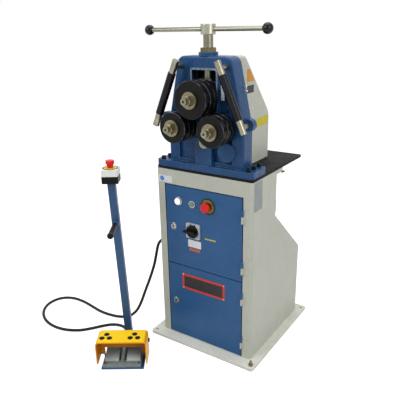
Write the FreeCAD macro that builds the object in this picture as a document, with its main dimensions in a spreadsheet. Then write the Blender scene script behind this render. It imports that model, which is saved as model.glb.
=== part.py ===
"""Ring roller: three-roll bender on a sheet cabinet, with a foot-switch station on a cable.

Millimetres, +Z up. The origin is the centre of the base plate's underside, and the front of the
machine faces -Y. Every driving size is a cell of the spreadsheet "Sizes", and each piece takes its
sizes and its place from those cells through expressions.
"""
import FreeCAD
import Part
import math
import os
from types import SimpleNamespace

import Sketcher
from FreeCAD import Placement, Rotation, Vector

SIZES = {
    # base plate and its fixings
    "base_margin": 36,
    "base_margin_rear": 48,
    "base_thickness": 12,
    "base_corner": 12,
    "anchor_inset_x": 18,
    "anchor_inset_y": 22,
    "anchor_hole": 14,
    "levelling_bolt": 10,
    "levelling_height": 33,
    "levelling_gap": 0.5,
    "levelling_flats": 17,
    "levelling_nut": 8,
    # cabinet
    "cabinet_width": 440,
    "cabinet_setback": 50,
    "cabinet_top_depth": 195,
    "cabinet_depth": 454,
    "cabinet_sheet": 3,
    "cabinet_corner": 12,
    "slope_top": 580,
    "slope_bottom": 348,
    "table_height": 766,
    "inlet_width": 20,
    "inlet_depth": 10,
    "inlet_rise": 15,
    "inlet_height": 49,
    "shelf_drop": 6,
    # doors, hinges and locks
    "door_frame": 39,
    "opening_drop": 60,
    "door_split": 356,
    "door_gap": 4,
    "door_sheet": 2,
    "door_depth": 18,
    "lip_depth": 15,
    "hinge_top_drop": 88.4,
    "hinge_upper_rise": 50,
    "hinge_lower_drop": 86,
    "hinge_bottom_rise": 57,
    "hinge_half": 28,
    "hinge_barrel": 8,
    "hinge_proud": 4.5,
    "hinge_pin": 4,
    "hinge_leaf": 11,
    "hinge_leaf_sheet": 2.5,
    "hinge_gap": 0.3,
    "pin_play": 0.05,
    "lock_inset": 33,
    "upper_lock_drop": 176,
    "lower_lock_drop": 176,
    "lock_head": 20,
    "lock_head_height": 2.5,
    "lock_stem": 15,
    "lock_play": 0.05,
    "lock_cam_width": 14,
    "lock_cam_sheet": 3,
    "lock_cam_reach": 6,
    "lock_cam_gap": 1,
    # controls on the upper door
    "pilot_x": -115,
    "pilot_drop": 62,
    "pilot_diameter": 30,
    "pilot_proud": 8,
    "push_x": -49,
    "push_drop": 64,
    "push_bezel": 29,
    "push_bezel_proud": 4,
    "push_cap": 20,
    "push_proud": 6,
    "push_travel": 4,
    "stop_x": 25.5,
    "stop_drop": 60,
    "stop_collar": 32,
    "stop_collar_proud": 5,
    "stop_head": 40,
    "stop_head_depth": 16,
    "stop_proud": 28,
    "stop_neck": 18,
    "switch_x": -44.5,
    "switch_drop": 177,
    "switch_plate": 64,
    "switch_plate_thickness": 8,
    "switch_plate_corner": 5,
    "switch_knob": 54,
    "switch_knob_base": 6,
    "switch_grip_width": 13,
    "switch_grip_reach": 35,
    "switch_grip_tail": 21,
    "switch_grip_height": 14,
    "switch_shaft": 12,
    "switch_body": 44,
    "control_hole": 22,
    "control_depth": 42,
    "control_play": 0.1,
    # table
    "table_inset": 3,
    "table_depth": 440,
    "table_setback": 2,
    "table_thickness": 10,
    "table_corner": 8,
    "gusset_length": 62,
    "gusset_slant": 8,
    "gusset_drop": 18,
    "gusset_thickness": 10,
    "gusset_inset": 4,
    # head casting
    "screw_setback": 56,
    "casting_depth": 64,
    "casting_top_width": 226,
    "shoulder_rise": 1,
    "crown_height": 48,
    "casting_corner": 32,
    "casting_edge": 7,
    "flange_inset": 1,
    "flange_reach": 50,
    "bolt_margin": 11,
    "flange_thickness": 26,
    "flange_corner": 10,
    "seat_diameter": 71,
    "seat_height": 13,
    "window_width": 104,
    "feed_down": 10,
    "feed_up": 38,
    "window_corner": 6,
    "rim_width": 7,
    "rim_proud": 2,
    "recess_depth": 12,
    "recess_margin": 13,
    "recess_above": 31,
    "recess_inset": 48,
    "recess_top_inset": 20,
    "bearing_wall": 14,
    "pad_width": 72,
    "pad_drop": 44,
    "pad_proud": 14,
    "side_boss_offset": 15,
    "side_boss_drop": 90,
    "side_boss": 70,
    "side_boss_proud": 10,
    "ear_diameter": 44,
    "ear_depth": 26,
    "bolt_inset": 25,
    "bolt_pitch": 42,
    "bolt_shank": 12,
    "bolt_head": 18,
    "bolt_head_height": 12,
    "bolt_socket": 10,
    "bolt_hole": 13,
    # side bars
    "bar_foot_reach": 26,
    "bar_foot_drop": 6,
    "bar_head_inset": 27,
    "bar_head_drop": 12,
    "bar_standoff": 48,
    "bar_end": 25,
    "bar_end_length": 50,
    "bar_core": 16,
    "bar_sleeve": 30,
    "bar_stud": 18,
    "bar_stud_sink": 20,
    # feed screw and handle
    "screw_diameter": 36,
    "screw_play": 0.05,
    "nut_flats": 55,
    "nut_height": 15,
    "nut_spigot": 50,
    "nut_spigot_length": 53,
    "handle_rise": 62,
    "hub_diameter": 54,
    "hub_height": 36,
    "handle_bar": 16,
    "handle_left": 265,
    "handle_right": 233,
    "handle_ball": 38,
    # carriage
    "carriage_below": 54,
    "carriage_above": 58,
    "slide_gap": 0.3,
    "tongue_width": 10,
    "tongue_depth": 5,
    "keeper_diameter": 62,
    "keeper_height": 8,
    "screw_disc": 46,
    "screw_disc_height": 14,
    # shafts, bearings and rolls
    "lower_spacing": 164,
    "lower_rise": 147,
    "roll_rise": 105,
    "shaft_diameter": 35,
    "tail_diameter": 30,
    "thread_diameter": 24,
    "thread_length": 40,
    "bearing_outer": 72,
    "bearing_width": 17,
    "bearing_play": 0.05,
    "roll_gap": 12,
    "collar_diameter": 50,
    "collar_gap": 0.5,
    "disc_width": 22,
    "spacer_width": 7,
    "top_roll": 136,
    "lower_roll": 114,
    "spacer_step": 18,
    "disc_edge": 2,
    "washer_diameter": 61,
    "washer_thickness": 8,
    "nut_across": 36,
    "nut_thickness": 20,
    "centre_hole": 10,
    "centre_hole_depth": 8,
    # gears
    "roll_teeth": 28,
    "drive_teeth": 24,
    "drive_drop": 64,
    "gear_width": 26,
    "gear_setback": 4,
    "gear_backlash": 0.3,
    "tail_nut": 44,
    "tail_nut_thickness": 8,
    "drive_shaft": 25,
    "drive_bush": 40,
    "drive_reach": 60,
    # rear cover
    "cover_width": 210,
    "cover_sheet": 2.5,
    "cover_top_drop": 1,
    "cover_top_depth": 60,
    "cover_depth": 265,
    "cover_shoulder_rise": 16,
    "cover_top_round": 40,
    "cover_rear_round": 75,
    "cover_edge": 12,
    "gear_case_margin": 68,
    "gear_case_above": 67,
    "gear_case_depth": 46,
    "gear_case_gap": 1,
    # gearmotor
    "gearbox_width": 104,
    "gearbox_depth": 100,
    "gearbox_setback": 38,
    "gearbox_height": 167,
    "gearbox_foot": 8,
    "gearbox_foot_margin": 14,
    "motor_diameter": 100,
    "motor_height": 125,
    "motor_cap": 17,
    "motor_cap_margin": 3,
    # electrical panel
    "panel_width": 280,
    "panel_height": 250,
    "panel_sheet": 3,
    "panel_setback": 150,
    "panel_block": 70,
    "panel_block_depth": 60,
    "panel_block_height": 80,
    "panel_block_pitch": 85,
    # pedal station, in its own frame: x along its front, y to its rear
    "station_x": -263.7,
    "station_y": -584.8,
    "station_turn": 33.4,
    "foot_plate_width": 171,
    "foot_plate_depth": 185,
    "foot_plate_thickness": 6,
    "foot_bracket_sheet": 3,
    "foot_bracket_depth": 11,
    "foot_bracket_rear": 83,
    "foot_bracket_above": 14,
    "switch_case_margin": 6,
    "switch_case_front": 3,
    "switch_case_depth": 147,
    "switch_case_floor": 4,
    "sill_depth": 19,
    "sill_height": 16,
    "rib_width": 12,
    "rear_block_depth": 12,
    "rear_block_height": 62,
    "pedal_width": 56,
    "pedal_inset": 4.5,
    "pedal_front": 26,
    "pedal_front_rise": 17.5,
    "pedal_depth": 105,
    "pedal_rise": 36,
    "pedal_thickness": 5,
    "pedal_pin": 6,
    "pedal_pin_y": 32,
    "pedal_pin_rise": 11.5,
    "pedal_barrel": 12,
    "guard_width": 203,
    "guard_depth": 86,
    "guard_low": 20,
    "guard_high": 127,
    "guard_sheet": 4,
    "guard_corner": 14,
    "guard_toe": 12,
    "guard_back_low": 57,
    "guard_tab_low": 24,
    "guard_tab_gap": 1,
    "bracket_arm_low": 30,
    "guard_hole": 16,
    "guard_hole_x": 64,
    "guard_hole_pitch": 30,
    "guard_hole_front": 31.5,
    "guard_hole_row": 25,
    "guard_screw_drop": 43,
    "guard_screw": 6,
    "guard_knob": 16,
    "guard_knob_height": 5,
    "pole_width": 30,
    "pole_depth": 25,
    "pole_wall": 2,
    "pole_offset": 9,
    "pole_setback": 20,
    "pole_lean": 25,
    "pole_top": 742,
    "pole_grip": 22,
    "pole_grip_length": 124,
    "pole_grip_height": 571.7,
    "box_width": 63,
    "box_depth": 68,
    "box_base_height": 28,
    "box_lid_height": 26,
    "box_wall": 3,
    "box_corner": 5,
    "box_button_hole": 22,
    "box_button": 35,
    "box_button_proud": 30,
    "box_button_head": 10,
    "box_button_travel": 6,
    "box_button_sink": 20,
    # cable and glands
    "cable_diameter": 13,
    "cabinet_gland_y": -118,
    "cabinet_gland_height": 398,
    "foot_gland_x": 57,
    "foot_gland_height": 24,
    "gland_flats": 24,
    "gland_nut": 8,
    "gland_taper": 16,
    "gland_tip": 17,
    "gland_thread": 20,
}

RUN_PAST = 1.0  # how far a cut runs past the surface that it opens, in mm
PRESSURE_ANGLE = 20.0  # gear teeth, degrees
ADDENDUM = 0.9  # height of a tooth above the pitch circle, in modules
DEDENDUM = 1.2  # depth of a tooth below the pitch circle, in modules

document = FreeCAD.newDocument("RingRoller")
sheet = document.addObject("Spreadsheet::Sheet", "Sizes")
for row, (alias, number) in enumerate(SIZES.items(), start=1):
    sheet.set(f"A{row}", alias)
    sheet.set(f"B{row}", str(number))
    sheet.setAlias(f"B{row}", alias)
document.recompute()


class Size:
    """A size that knows its number and the spreadsheet expression that gives it."""

    def __init__(self, value, text):
        self.value = float(value)
        self.text = text

    def __add__(self, other):
        other = as_size(other)
        return Size(self.value + other.value, f"({self.text} + {other.text})")

    def __radd__(self, other):
        return as_size(other) + self

    def __sub__(self, other):
        other = as_size(other)
        return Size(self.value - other.value, f"({self.text} - {other.text})")

    def __rsub__(self, other):
        return as_size(other) - self

    def __mul__(self, other):
        other = as_size(other)
        return Size(self.value * other.value, f"({self.text} * {other.text})")

    def __rmul__(self, other):
        return as_size(other) * self

    def __truediv__(self, other):
        other = as_size(other)
        return Size(self.value / other.value, f"({self.text} / {other.text})")

    def __neg__(self):
        return Size(-self.value, f"(0 - {self.text})")


def as_size(number):
    """Give a plain number the same face as a size."""
    return number if isinstance(number, Size) else Size(number, f"({number})")


def root(number):
    """Square root of a size."""
    return Size(math.sqrt(number.value), f"sqrt({number.text})")


d = SimpleNamespace(**{alias: Size(number, f"Sizes.{alias}") for alias, number in SIZES.items()})

# ---------------------------------------------------------------- places worked out from the sizes
half_cabinet = d.cabinet_width / 2
half_base = half_cabinet + d.base_margin
base_depth = d.cabinet_setback + d.cabinet_depth + d.base_margin_rear
front = d.cabinet_setback - base_depth / 2
rear_top = front + d.cabinet_top_depth
rear_low = front + d.cabinet_depth
floor = d.base_thickness
inlet_low = d.slope_top + d.inlet_rise
inlet_high = inlet_low + d.inlet_height
# doors and what they carry
opening_top = d.table_height - d.opening_drop
door_opening = d.cabinet_width - d.door_frame * 2
upper_door_top = opening_top - d.door_gap
lower_door_top = d.door_split - d.door_gap / 2
hinge_x = (door_opening - d.door_gap) / 2
hinge_y = front - d.hinge_proud
hinge_top = opening_top - d.hinge_top_drop
hinge_upper = d.door_split + d.hinge_upper_rise
hinge_lower = d.door_split - d.hinge_lower_drop
hinge_bottom = floor + d.hinge_bottom_rise
upper_lock_height = upper_door_top - d.upper_lock_drop
lower_lock_height = lower_door_top - d.lower_lock_drop
pilot_height = upper_door_top - d.pilot_drop
push_height = upper_door_top - d.push_drop
stop_height = upper_door_top - d.stop_drop
switch_height = upper_door_top - d.switch_drop
# table and the casting's depth
table_width = d.cabinet_width - d.table_inset * 2
table_top = d.table_height + d.table_thickness
screw_y = front + d.screw_setback
casting_front = screw_y - d.casting_depth / 2
casting_rear = screw_y + d.casting_depth / 2
flange_top = table_top + d.flange_thickness
flange_width = table_width - d.flange_inset * 2
casting_width = flange_width - d.flange_reach * 2
flange_depth = (d.bolt_pitch + d.bolt_margin) * 2
bolt_x = flange_width / 2 - d.bolt_inset
# heights of the head, from the flange up to the handle
half_spacing = d.lower_spacing / 2
lower_height = flange_top + d.lower_rise
drive_height = lower_height - d.drive_drop
top_height = lower_height + d.roll_rise
carriage_low = top_height - d.carriage_below
carriage_high = top_height + d.carriage_above
carriage_half = d.window_width / 2 - d.slide_gap
window_low = carriage_low - d.feed_down
window_high = carriage_high + d.feed_up
casting_top = window_high + d.crown_height
casting_shoulder = lower_height + d.shoulder_rise
handle_height = casting_top + d.seat_height + d.nut_height + d.handle_rise
recess_low = flange_top + d.recess_margin
recess_high = top_height + d.recess_above
recess_width = casting_width - d.recess_inset * 2
recess_top_width = d.casting_top_width - d.recess_top_inset * 2
pad_high = lower_height - d.pad_drop
side_boss_x = half_spacing + d.side_boss_offset
side_boss_height = lower_height - d.side_boss_drop
bar_foot_x = casting_width / 2 + d.bar_foot_reach
bar_foot_height = casting_shoulder - d.bar_foot_drop
bar_head_x = d.casting_top_width / 2 - d.bar_head_inset
bar_head_height = casting_top - d.bar_head_drop
cover_top = casting_top - d.cover_top_drop
cover_shoulder = lower_height + d.cover_shoulder_rise
gear_case_width = d.lower_spacing + d.gear_case_margin * 2
gear_case_high = lower_height + d.gear_case_above
# depths of the rolls and gears
roll_rear = casting_front - d.roll_gap
roll_front = roll_rear - d.disc_width * 3 - d.spacer_width * 2
washer_front = roll_front - d.washer_thickness
shaft_front = roll_front - d.thread_length
gear_front = casting_rear + d.gear_setback
gear_rear = gear_front + d.gear_width

# ---------------------------------------------------------------- drawing helpers
nodes = {}
DIRECTIONS = {
    "x": Rotation(Vector(0, 1, 0), 90),
    "y": Rotation(Vector(1, 0, 0), -90),
    "-y": Rotation(Vector(1, 0, 0), 90),
    "z": Rotation(),
}
PLANES = {"x": ("YZ_Plane", 1), "y": ("XZ_Plane", -1), "z": ("XY_Plane", 1)}
COORDINATES = {"x": ("y", "z"), "y": ("x", "z"), "z": ("x", "y")}


def node(name, piece):
    """Name a finished piece, which makes it a node of its own."""
    piece.Label = name
    nodes[name] = piece
    return piece


def bind(piece, path, size):
    """Drive one property of a piece by a size."""
    piece.setExpression(path, as_size(size).text)


def put(piece, x, y, z, direction="z"):
    """Place a piece, with its own Z axis along the direction."""
    piece.Placement = Placement(Vector(), DIRECTIONS[direction])
    bind(piece, "Placement.Base.x", x)
    bind(piece, "Placement.Base.y", y)
    bind(piece, "Placement.Base.z", z)
    return piece


def along(axis, low, a, b):
    """Point at `low` on the axis, with a and b as its two other coordinates."""
    return {"x": (low, a, b), "y": (a, low, b), "z": (a, b, low)}[axis.strip("-")]


def box(low, high):
    """Box between its lowest and its highest corner."""
    piece = document.addObject("Part::Box", "box")
    for path, start, end in zip(("Length", "Width", "Height"), low, high):
        bind(piece, path, as_size(end) - start)
    return put(piece, *low)


def rod(axis, diameter, low, high, a, b):
    """Cylinder along an axis from low to high, centred on a and b."""
    piece = document.addObject("Part::Cylinder", "rod")
    bind(piece, "Radius", as_size(diameter) / 2)
    bind(piece, "Height", as_size(high) - low)
    return put(piece, *along(axis, low, a, b), axis)


def taper(axis, wide, narrow, base, height, a, b):
    """Cone frustum that starts at `base` with the first diameter."""
    piece = document.addObject("Part::Cone", "taper")
    bind(piece, "Radius1", as_size(wide) / 2)
    bind(piece, "Radius2", as_size(narrow) / 2)
    bind(piece, "Height", height)
    return put(piece, *along(axis, base, a, b), axis)


def hexagon(axis, flats, base, height, a, b):
    """Hexagonal prism of a width across its flats."""
    piece = document.addObject("Part::Prism", "hexagon")
    piece.Polygon = 6
    bind(piece, "Circumradius", as_size(flats) / math.sqrt(3))
    bind(piece, "Height", height)
    return put(piece, *along(axis, base, a, b), axis)


def cut(base, *tools):
    """Take tools away from a base, one after the other."""
    for tool in tools:
        piece = document.addObject("Part::Cut", "cut")
        piece.Base = base
        piece.Tool = tool
        base = piece
    return base


def fuse(*pieces):
    """Join pieces into one solid."""
    piece = document.addObject("Part::MultiFuse", "fuse")
    piece.Shapes = list(pieces)
    piece.Refine = True
    return piece


def common(base, tool):
    """Keep what two pieces share."""
    piece = document.addObject("Part::Common", "common")
    piece.Base = base
    piece.Tool = tool
    return piece


def group(*pieces):
    """Hold separate solids in one piece."""
    piece = document.addObject("Part::Compound", "group")
    piece.Links = list(pieces)
    return piece


def mirrored(piece, place=0):
    """Mirror a piece across the plane at x = place."""
    twin = document.addObject("Part::Mirroring", "mirrored")
    twin.Source = piece
    twin.Normal = Vector(1, 0, 0)
    bind(twin, "Base.x", place)
    return twin


def ring(axis, outer, inner, low, high, a, b):
    """Plain ring."""
    return cut(rod(axis, outer, low, high, a, b), rod(axis, inner, low, high, a, b))


def hex_nut(axis, flats, bore, base, height, a, b):
    """Hexagonal nut, chamfered at the end away from its base."""
    crown = as_size(flats) * 0.96
    slope = as_size(height) * 2 * math.sqrt(3)
    blank = common(
        hexagon(axis, flats, base, height, a, b),
        taper(axis, crown + slope, crown, base, height, a, b),
    )
    return cut(blank, drill(axis, bore, base, height, a, b))


def drill(axis, diameter, base, height, a, b):
    """Cylinder that starts at `base` and runs along a direction."""
    piece = document.addObject("Part::Cylinder", "drill")
    bind(piece, "Radius", as_size(diameter) / 2)
    bind(piece, "Height", height)
    return put(piece, *along(axis, base, a, b), axis)


class Solid:
    """A PartDesign body made of pads and pockets along X, Y or Z."""

    def __init__(self, name):
        self.body = document.addObject("PartDesign::Body", name)

    def sketch(self, axis, level, loops):
        """Sketch on a plane across the axis; a loop is corners, or a circle as (a, b, diameter)."""
        role, sign = PLANES[axis]
        sketch = self.body.newObject("Sketcher::SketchObject", "sketch")
        plane = [item for item in self.body.Origin.OriginFeatures if item.Role == role][0]
        sketch.AttachmentSupport = [(plane, "")]
        sketch.MapMode = "FlatFace"
        bind(sketch, "AttachmentOffset.Base.z", as_size(level) * sign)
        for loop in loops:
            if isinstance(loop, list):
                draw_corners(sketch, loop)
            else:
                draw_circle(sketch, *loop)
        return sketch

    def pad(self, axis, low, high, *loops):
        """Add material between two levels of the axis."""
        start = high if axis == "y" else low
        feature = self.body.newObject("PartDesign::Pad", "pad")
        feature.Profile = self.sketch(axis, start, loops)
        bind(feature, "Length", as_size(high) - low)
        self.body.Tip = feature
        return self

    def pocket(self, axis, low, high, *loops):
        """Take material away between two levels of the axis."""
        document.recompute()
        volume = self.body.Shape.Volume
        start = low if axis == "y" else high
        feature = self.body.newObject("PartDesign::Pocket", "pocket")
        feature.Profile = self.sketch(axis, start, loops)
        bind(feature, "Length", as_size(high) - low)
        self.body.Tip = feature
        document.recompute()
        if not self.body.Shape.Volume < volume - 1e-3:
            raise RuntimeError(f"a pocket of {self.body.Name} cuts nothing")
        return self

    def dress(self, kind, size_name, size, edges):
        """Fillet or chamfer the edges given by their indices."""
        previous = self.body.Tip
        feature = self.body.newObject(kind, "edge")
        feature.Base = (previous, [f"Edge{index + 1}" for index in edges])
        bind(feature, size_name, size)
        self.body.Tip = feature
        document.recompute()
        return self

    def round(self, radius, axis, *places):
        """Round the straight edges along an axis that pass through the places."""
        document.recompute()
        shape = self.body.Tip.Shape
        found = [edge_at(shape, axis, *place) for place in places]
        return self.dress("PartDesign::Fillet", "Radius", radius, sum(found, []))

    def round_where(self, radius, test):
        """Round the edges that pass a test."""
        document.recompute()
        edges = [index for index, edge in enumerate(self.body.Tip.Shape.Edges) if test(edge)]
        return self.dress("PartDesign::Fillet", "Radius", radius, edges)


def draw_corners(sketch, corners):
    """Draw a closed outline and hold each of its corners."""
    first = sketch.GeometryCount
    corners = [(as_size(a), as_size(b)) for a, b in corners]
    points = [Vector(a.value, b.value, 0) for a, b in corners]
    lines = [Part.LineSegment(start, end) for start, end in zip(points, points[1:] + points[:1])]
    sketch.addGeometry(lines, False)
    rules = []
    sizes = []
    for index, (a, b) in enumerate(corners):
        following = first + (index + 1) % len(corners)
        rules.append(Sketcher.Constraint("Coincident", first + index, 2, following, 1))
        rules.append(Sketcher.Constraint("DistanceX", first + index, 1, a.value))
        rules.append(Sketcher.Constraint("DistanceY", first + index, 1, b.value))
        sizes += [None, a, b]
    hold(sketch, rules, sizes)


def draw_circle(sketch, a, b, diameter):
    """Draw a circle and hold its centre and its radius."""
    a, b, radius = as_size(a), as_size(b), as_size(diameter) / 2
    centre = Vector(a.value, b.value, 0)
    index = sketch.addGeometry(Part.Circle(centre, Vector(0, 0, 1), radius.value), False)
    rules = [
        Sketcher.Constraint("Radius", index, radius.value),
        Sketcher.Constraint("DistanceX", index, 3, a.value),
        Sketcher.Constraint("DistanceY", index, 3, b.value),
    ]
    hold(sketch, rules, [radius, a, b])


def hold(sketch, rules, sizes):
    """Add constraints and drive those that have a size."""
    first = sketch.ConstraintCount
    sketch.addConstraint(rules)
    for index, size in enumerate(sizes, start=first):
        if size is not None:
            sketch.setExpression(f"Constraints[{index}]", size.text)


def rectangle(a_low, b_low, a_high, b_high):
    """Corners of a rectangle."""
    return [(a_low, b_low), (a_high, b_low), (a_high, b_high), (a_low, b_high)]


def edge_at(shape, axis, a, b):
    """Indices of the straight edges along an axis at two coordinates."""
    goal = Vector(*[as_size(value).value for value in along(axis, 0, a, b)])
    direction = Vector(*along(axis, 1, 0, 0))
    found = []
    for index, edge in enumerate(shape.Edges):
        if edge.Curve.TypeId != "Part::GeomLine":
            continue
        offset = edge.CenterOfMass - goal
        offset -= direction * offset.dot(direction)
        if abs(edge.Curve.Direction.dot(direction)) > 0.9999 and offset.Length < 0.01:
            found.append(index)
    if not found:
        raise RuntimeError(f"no edge along {axis} at {goal}")
    return found


def circle_rims(diameter):
    """Test for full circles of a diameter."""
    radius = as_size(diameter).value / 2

    def test(edge):
        return edge.Curve.TypeId == "Part::GeomCircle" and abs(edge.Curve.Radius - radius) < 0.01

    return test


# ---------------------------------------------------------------- base plate and cabinet
def base_plate():
    half_depth = base_depth / 2
    hole_x = half_base - d.anchor_inset_x
    hole_y = half_depth - d.anchor_inset_y
    plate = Solid("base_plate_body")
    plate.pad("z", 0, floor, rectangle(-half_base, -half_depth, half_base, half_depth))
    corners = [(x, y) for x in (-half_base, half_base) for y in (-half_depth, half_depth)]
    plate.round(d.base_corner, "z", *corners)
    holes = [(x, y, d.anchor_hole) for x in (-hole_x, hole_x) for y in (-hole_y, hole_y)]
    plate.pocket("z", -RUN_PAST, floor + RUN_PAST, *holes)
    node("base_plate", plate.body)
    stud = rod("z", d.levelling_bolt, d.levelling_gap, d.levelling_height, hole_x, -hole_y)
    nut = hex_nut("z", d.levelling_flats, d.levelling_bolt, floor, d.levelling_nut, hole_x, -hole_y)
    node("levelling_screw", group(stud, nut))


def hinge_heights(upper):
    return (hinge_top, hinge_upper) if upper else (hinge_lower, hinge_bottom)


def cabinet_shell():
    half_opening = door_opening / 2
    inner = half_cabinet - d.cabinet_sheet
    shell = Solid("cabinet_shell_body")
    side = [
        (front, floor),
        (front, d.table_height),
        (rear_top, d.table_height),
        (rear_top, d.slope_top),
        (rear_low, d.slope_bottom),
        (rear_low, floor),
    ]
    shell.pad("x", -half_cabinet, half_cabinet, side)
    inside = rectangle(
        front + d.cabinet_sheet, floor - RUN_PAST, rear_low + RUN_PAST, d.table_height + RUN_PAST
    )
    shell.pocket("x", -inner, inner, inside)
    bend_y = front + d.cabinet_sheet
    shell.round(d.cabinet_corner - d.cabinet_sheet, "z", (-inner, bend_y), (inner, bend_y))
    shell.round(d.cabinet_corner, "z", (-half_cabinet, front), (half_cabinet, front))
    opening = rectangle(-half_opening, floor - RUN_PAST, half_opening, opening_top)
    shell.pocket("y", front - RUN_PAST, front + d.cabinet_sheet + RUN_PAST, opening)
    outer = half_opening + d.cabinet_sheet
    frame = [
        (-outer, floor),
        (-half_opening, floor),
        (-half_opening, opening_top),
        (half_opening, opening_top),
        (half_opening, floor),
        (outer, floor),
        (outer, opening_top + d.cabinet_sheet),
        (-outer, opening_top + d.cabinet_sheet),
    ]
    shell.pad("y", front, front + d.cabinet_sheet + d.lip_depth, frame)
    leaves = []
    for middle in (*hinge_heights(True), *hinge_heights(False)):
        low = middle - d.hinge_half / 2
        high = middle + d.hinge_half / 2
        leaves.append(rectangle(hinge_x, low, hinge_x + d.hinge_leaf, high))
    shell.pad("y", front - d.hinge_leaf_sheet, front + RUN_PAST, *leaves)
    for middle in (*hinge_heights(True), *hinge_heights(False)):
        low = middle - d.hinge_half / 2
        high = middle + d.hinge_half / 2
        shell.pad("z", low, high, (hinge_x, hinge_y, d.hinge_barrel))
        shell.pocket("z", low - RUN_PAST, high + RUN_PAST, (hinge_x, hinge_y, d.hinge_pin))
    gland_hole = (d.cabinet_gland_y, d.cabinet_gland_height, d.gland_thread)
    shell.pocket("x", -half_cabinet - RUN_PAST, -inner + RUN_PAST, gland_hole)
    node("cabinet_shell", shell.body)


def cabinet_back_and_shelf():
    inner = half_cabinet - d.cabinet_sheet
    run = rear_low - rear_top
    fall = d.slope_top - d.slope_bottom
    length = root(run * run + fall * fall)
    shift = d.cabinet_sheet * (fall - length) / run
    inner_top = rear_top - d.cabinet_sheet
    inner_low = rear_low - d.cabinet_sheet
    panel = Solid("rear_panel_body")
    bent_sheet = [
        (rear_top, d.table_height),
        (rear_top, d.slope_top),
        (rear_low, d.slope_bottom),
        (rear_low, floor),
        (inner_low, floor),
        (inner_low, d.slope_bottom + shift),
        (inner_top, d.slope_top + shift),
        (inner_top, d.table_height),
    ]
    panel.pad("x", -inner, inner, bent_sheet)
    inlet = rectangle(rear_top - RUN_PAST, inlet_low, rear_top + d.inlet_depth, inlet_high)
    panel.pad("x", inner - d.inlet_width, inner, inlet)
    node("cabinet_rear_panel", panel.body)
    shelf_top = d.slope_bottom - d.shelf_drop
    shelf_front = front + d.door_depth + d.lock_cam_gap * 6
    low = (-inner, shelf_front, shelf_top - d.cabinet_sheet)
    node("cabinet_shelf", box(low, (inner, inner_low, shelf_top)))
    return shelf_top


def electrical_panel(shelf_top):
    panel_y = front + d.panel_setback
    half = d.panel_width / 2
    high = shelf_top + d.panel_height
    plate = box((-half, panel_y, shelf_top), (half, panel_y + d.panel_sheet, high))
    blocks = []
    for column in (-1, 0, 1):
        left = d.panel_block_pitch * column - d.panel_block / 2
        low = high - d.panel_block_height * 1.5
        corner = (left, panel_y - d.panel_block_depth, low)
        blocks.append(box(corner, (left + d.panel_block, panel_y, low + d.panel_block_height)))
    node("electrical_panel", group(plate, *blocks))


# ---------------------------------------------------------------- doors
def hinge_pins():
    pins = []
    for middle in (*hinge_heights(True), *hinge_heights(False)):
        low = middle - d.hinge_half / 2
        pins.append(rod("z", d.hinge_pin, low, low + d.hinge_half * 2, hinge_x, hinge_y))
    node("door_hinge_pins", group(*pins))


def door(name, low, high, heights, holes):
    """Pan-shaped door, with the moving halves of its hinges and holes as (x, z, diameter)."""
    half = door_opening / 2 - d.door_gap
    wall = d.door_sheet
    pan = Solid(name + "_body")
    pan.pad("y", front, front + d.door_depth, rectangle(-half, low, half, high))
    inside = rectangle(-half + wall, low + wall, half - wall, high - wall)
    pan.pocket("y", front + wall, front + d.door_depth + RUN_PAST, inside)
    pan.pocket("y", front - RUN_PAST, front + wall + RUN_PAST, *holes)
    for middle in heights:
        start = middle + d.hinge_half / 2 + d.hinge_gap
        end = start + d.hinge_half - d.hinge_gap
        leaf = rectangle(hinge_x - d.hinge_leaf, start, hinge_x, end)
        pan.pad("y", front - d.hinge_leaf_sheet, front, leaf)
        pan.pad("z", start, end, (hinge_x, hinge_y, d.hinge_barrel))
        bore = (hinge_x, hinge_y, d.hinge_pin + d.pin_play * 2)
        pan.pocket("z", start - RUN_PAST, end + RUN_PAST, bore)
    return node(name, pan.body)


def lock_hole(height):
    lock_x = d.lock_inset + d.door_gap - door_opening / 2
    return (lock_x, height, d.lock_stem + d.lock_play * 2)


def lock(name, height):
    """Quarter-turn lock: round head, stem and a cam that hangs down behind the door."""
    lock_x = d.lock_inset + d.door_gap - door_opening / 2
    cam_y = front + d.door_depth + d.lock_cam_gap
    reach = d.lock_inset + d.door_gap + d.cabinet_sheet + d.lock_cam_reach
    stem_end = cam_y + d.lock_cam_sheet
    head = rod("y", d.lock_head, front - d.lock_head_height, front - d.lock_play, lock_x, height)
    stem = rod("y", d.lock_stem, front - d.lock_head_height, stem_end, lock_x, height)
    half_cam = d.lock_cam_width / 2
    cam_low = (lock_x - half_cam, cam_y, height - reach)
    cam = box(cam_low, (lock_x + half_cam, stem_end, height))
    node(name, fuse(head, stem, cam))


def doors():
    half_gap = d.door_gap / 2
    upper_holes = [
        (d.pilot_x, pilot_height, d.control_hole),
        (d.push_x, push_height, d.control_hole),
        (d.stop_x, stop_height, d.control_hole),
        (d.switch_x, switch_height, d.control_hole),
        lock_hole(upper_lock_height),
    ]
    door("upper_door", d.door_split + half_gap, upper_door_top, hinge_heights(True), upper_holes)
    low = floor + d.door_gap
    holes = [lock_hole(lower_lock_height)]
    door("lower_door", low, lower_door_top, hinge_heights(False), holes)
    lock("upper_lock", upper_lock_height)
    lock("lower_lock", lower_lock_height)


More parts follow.
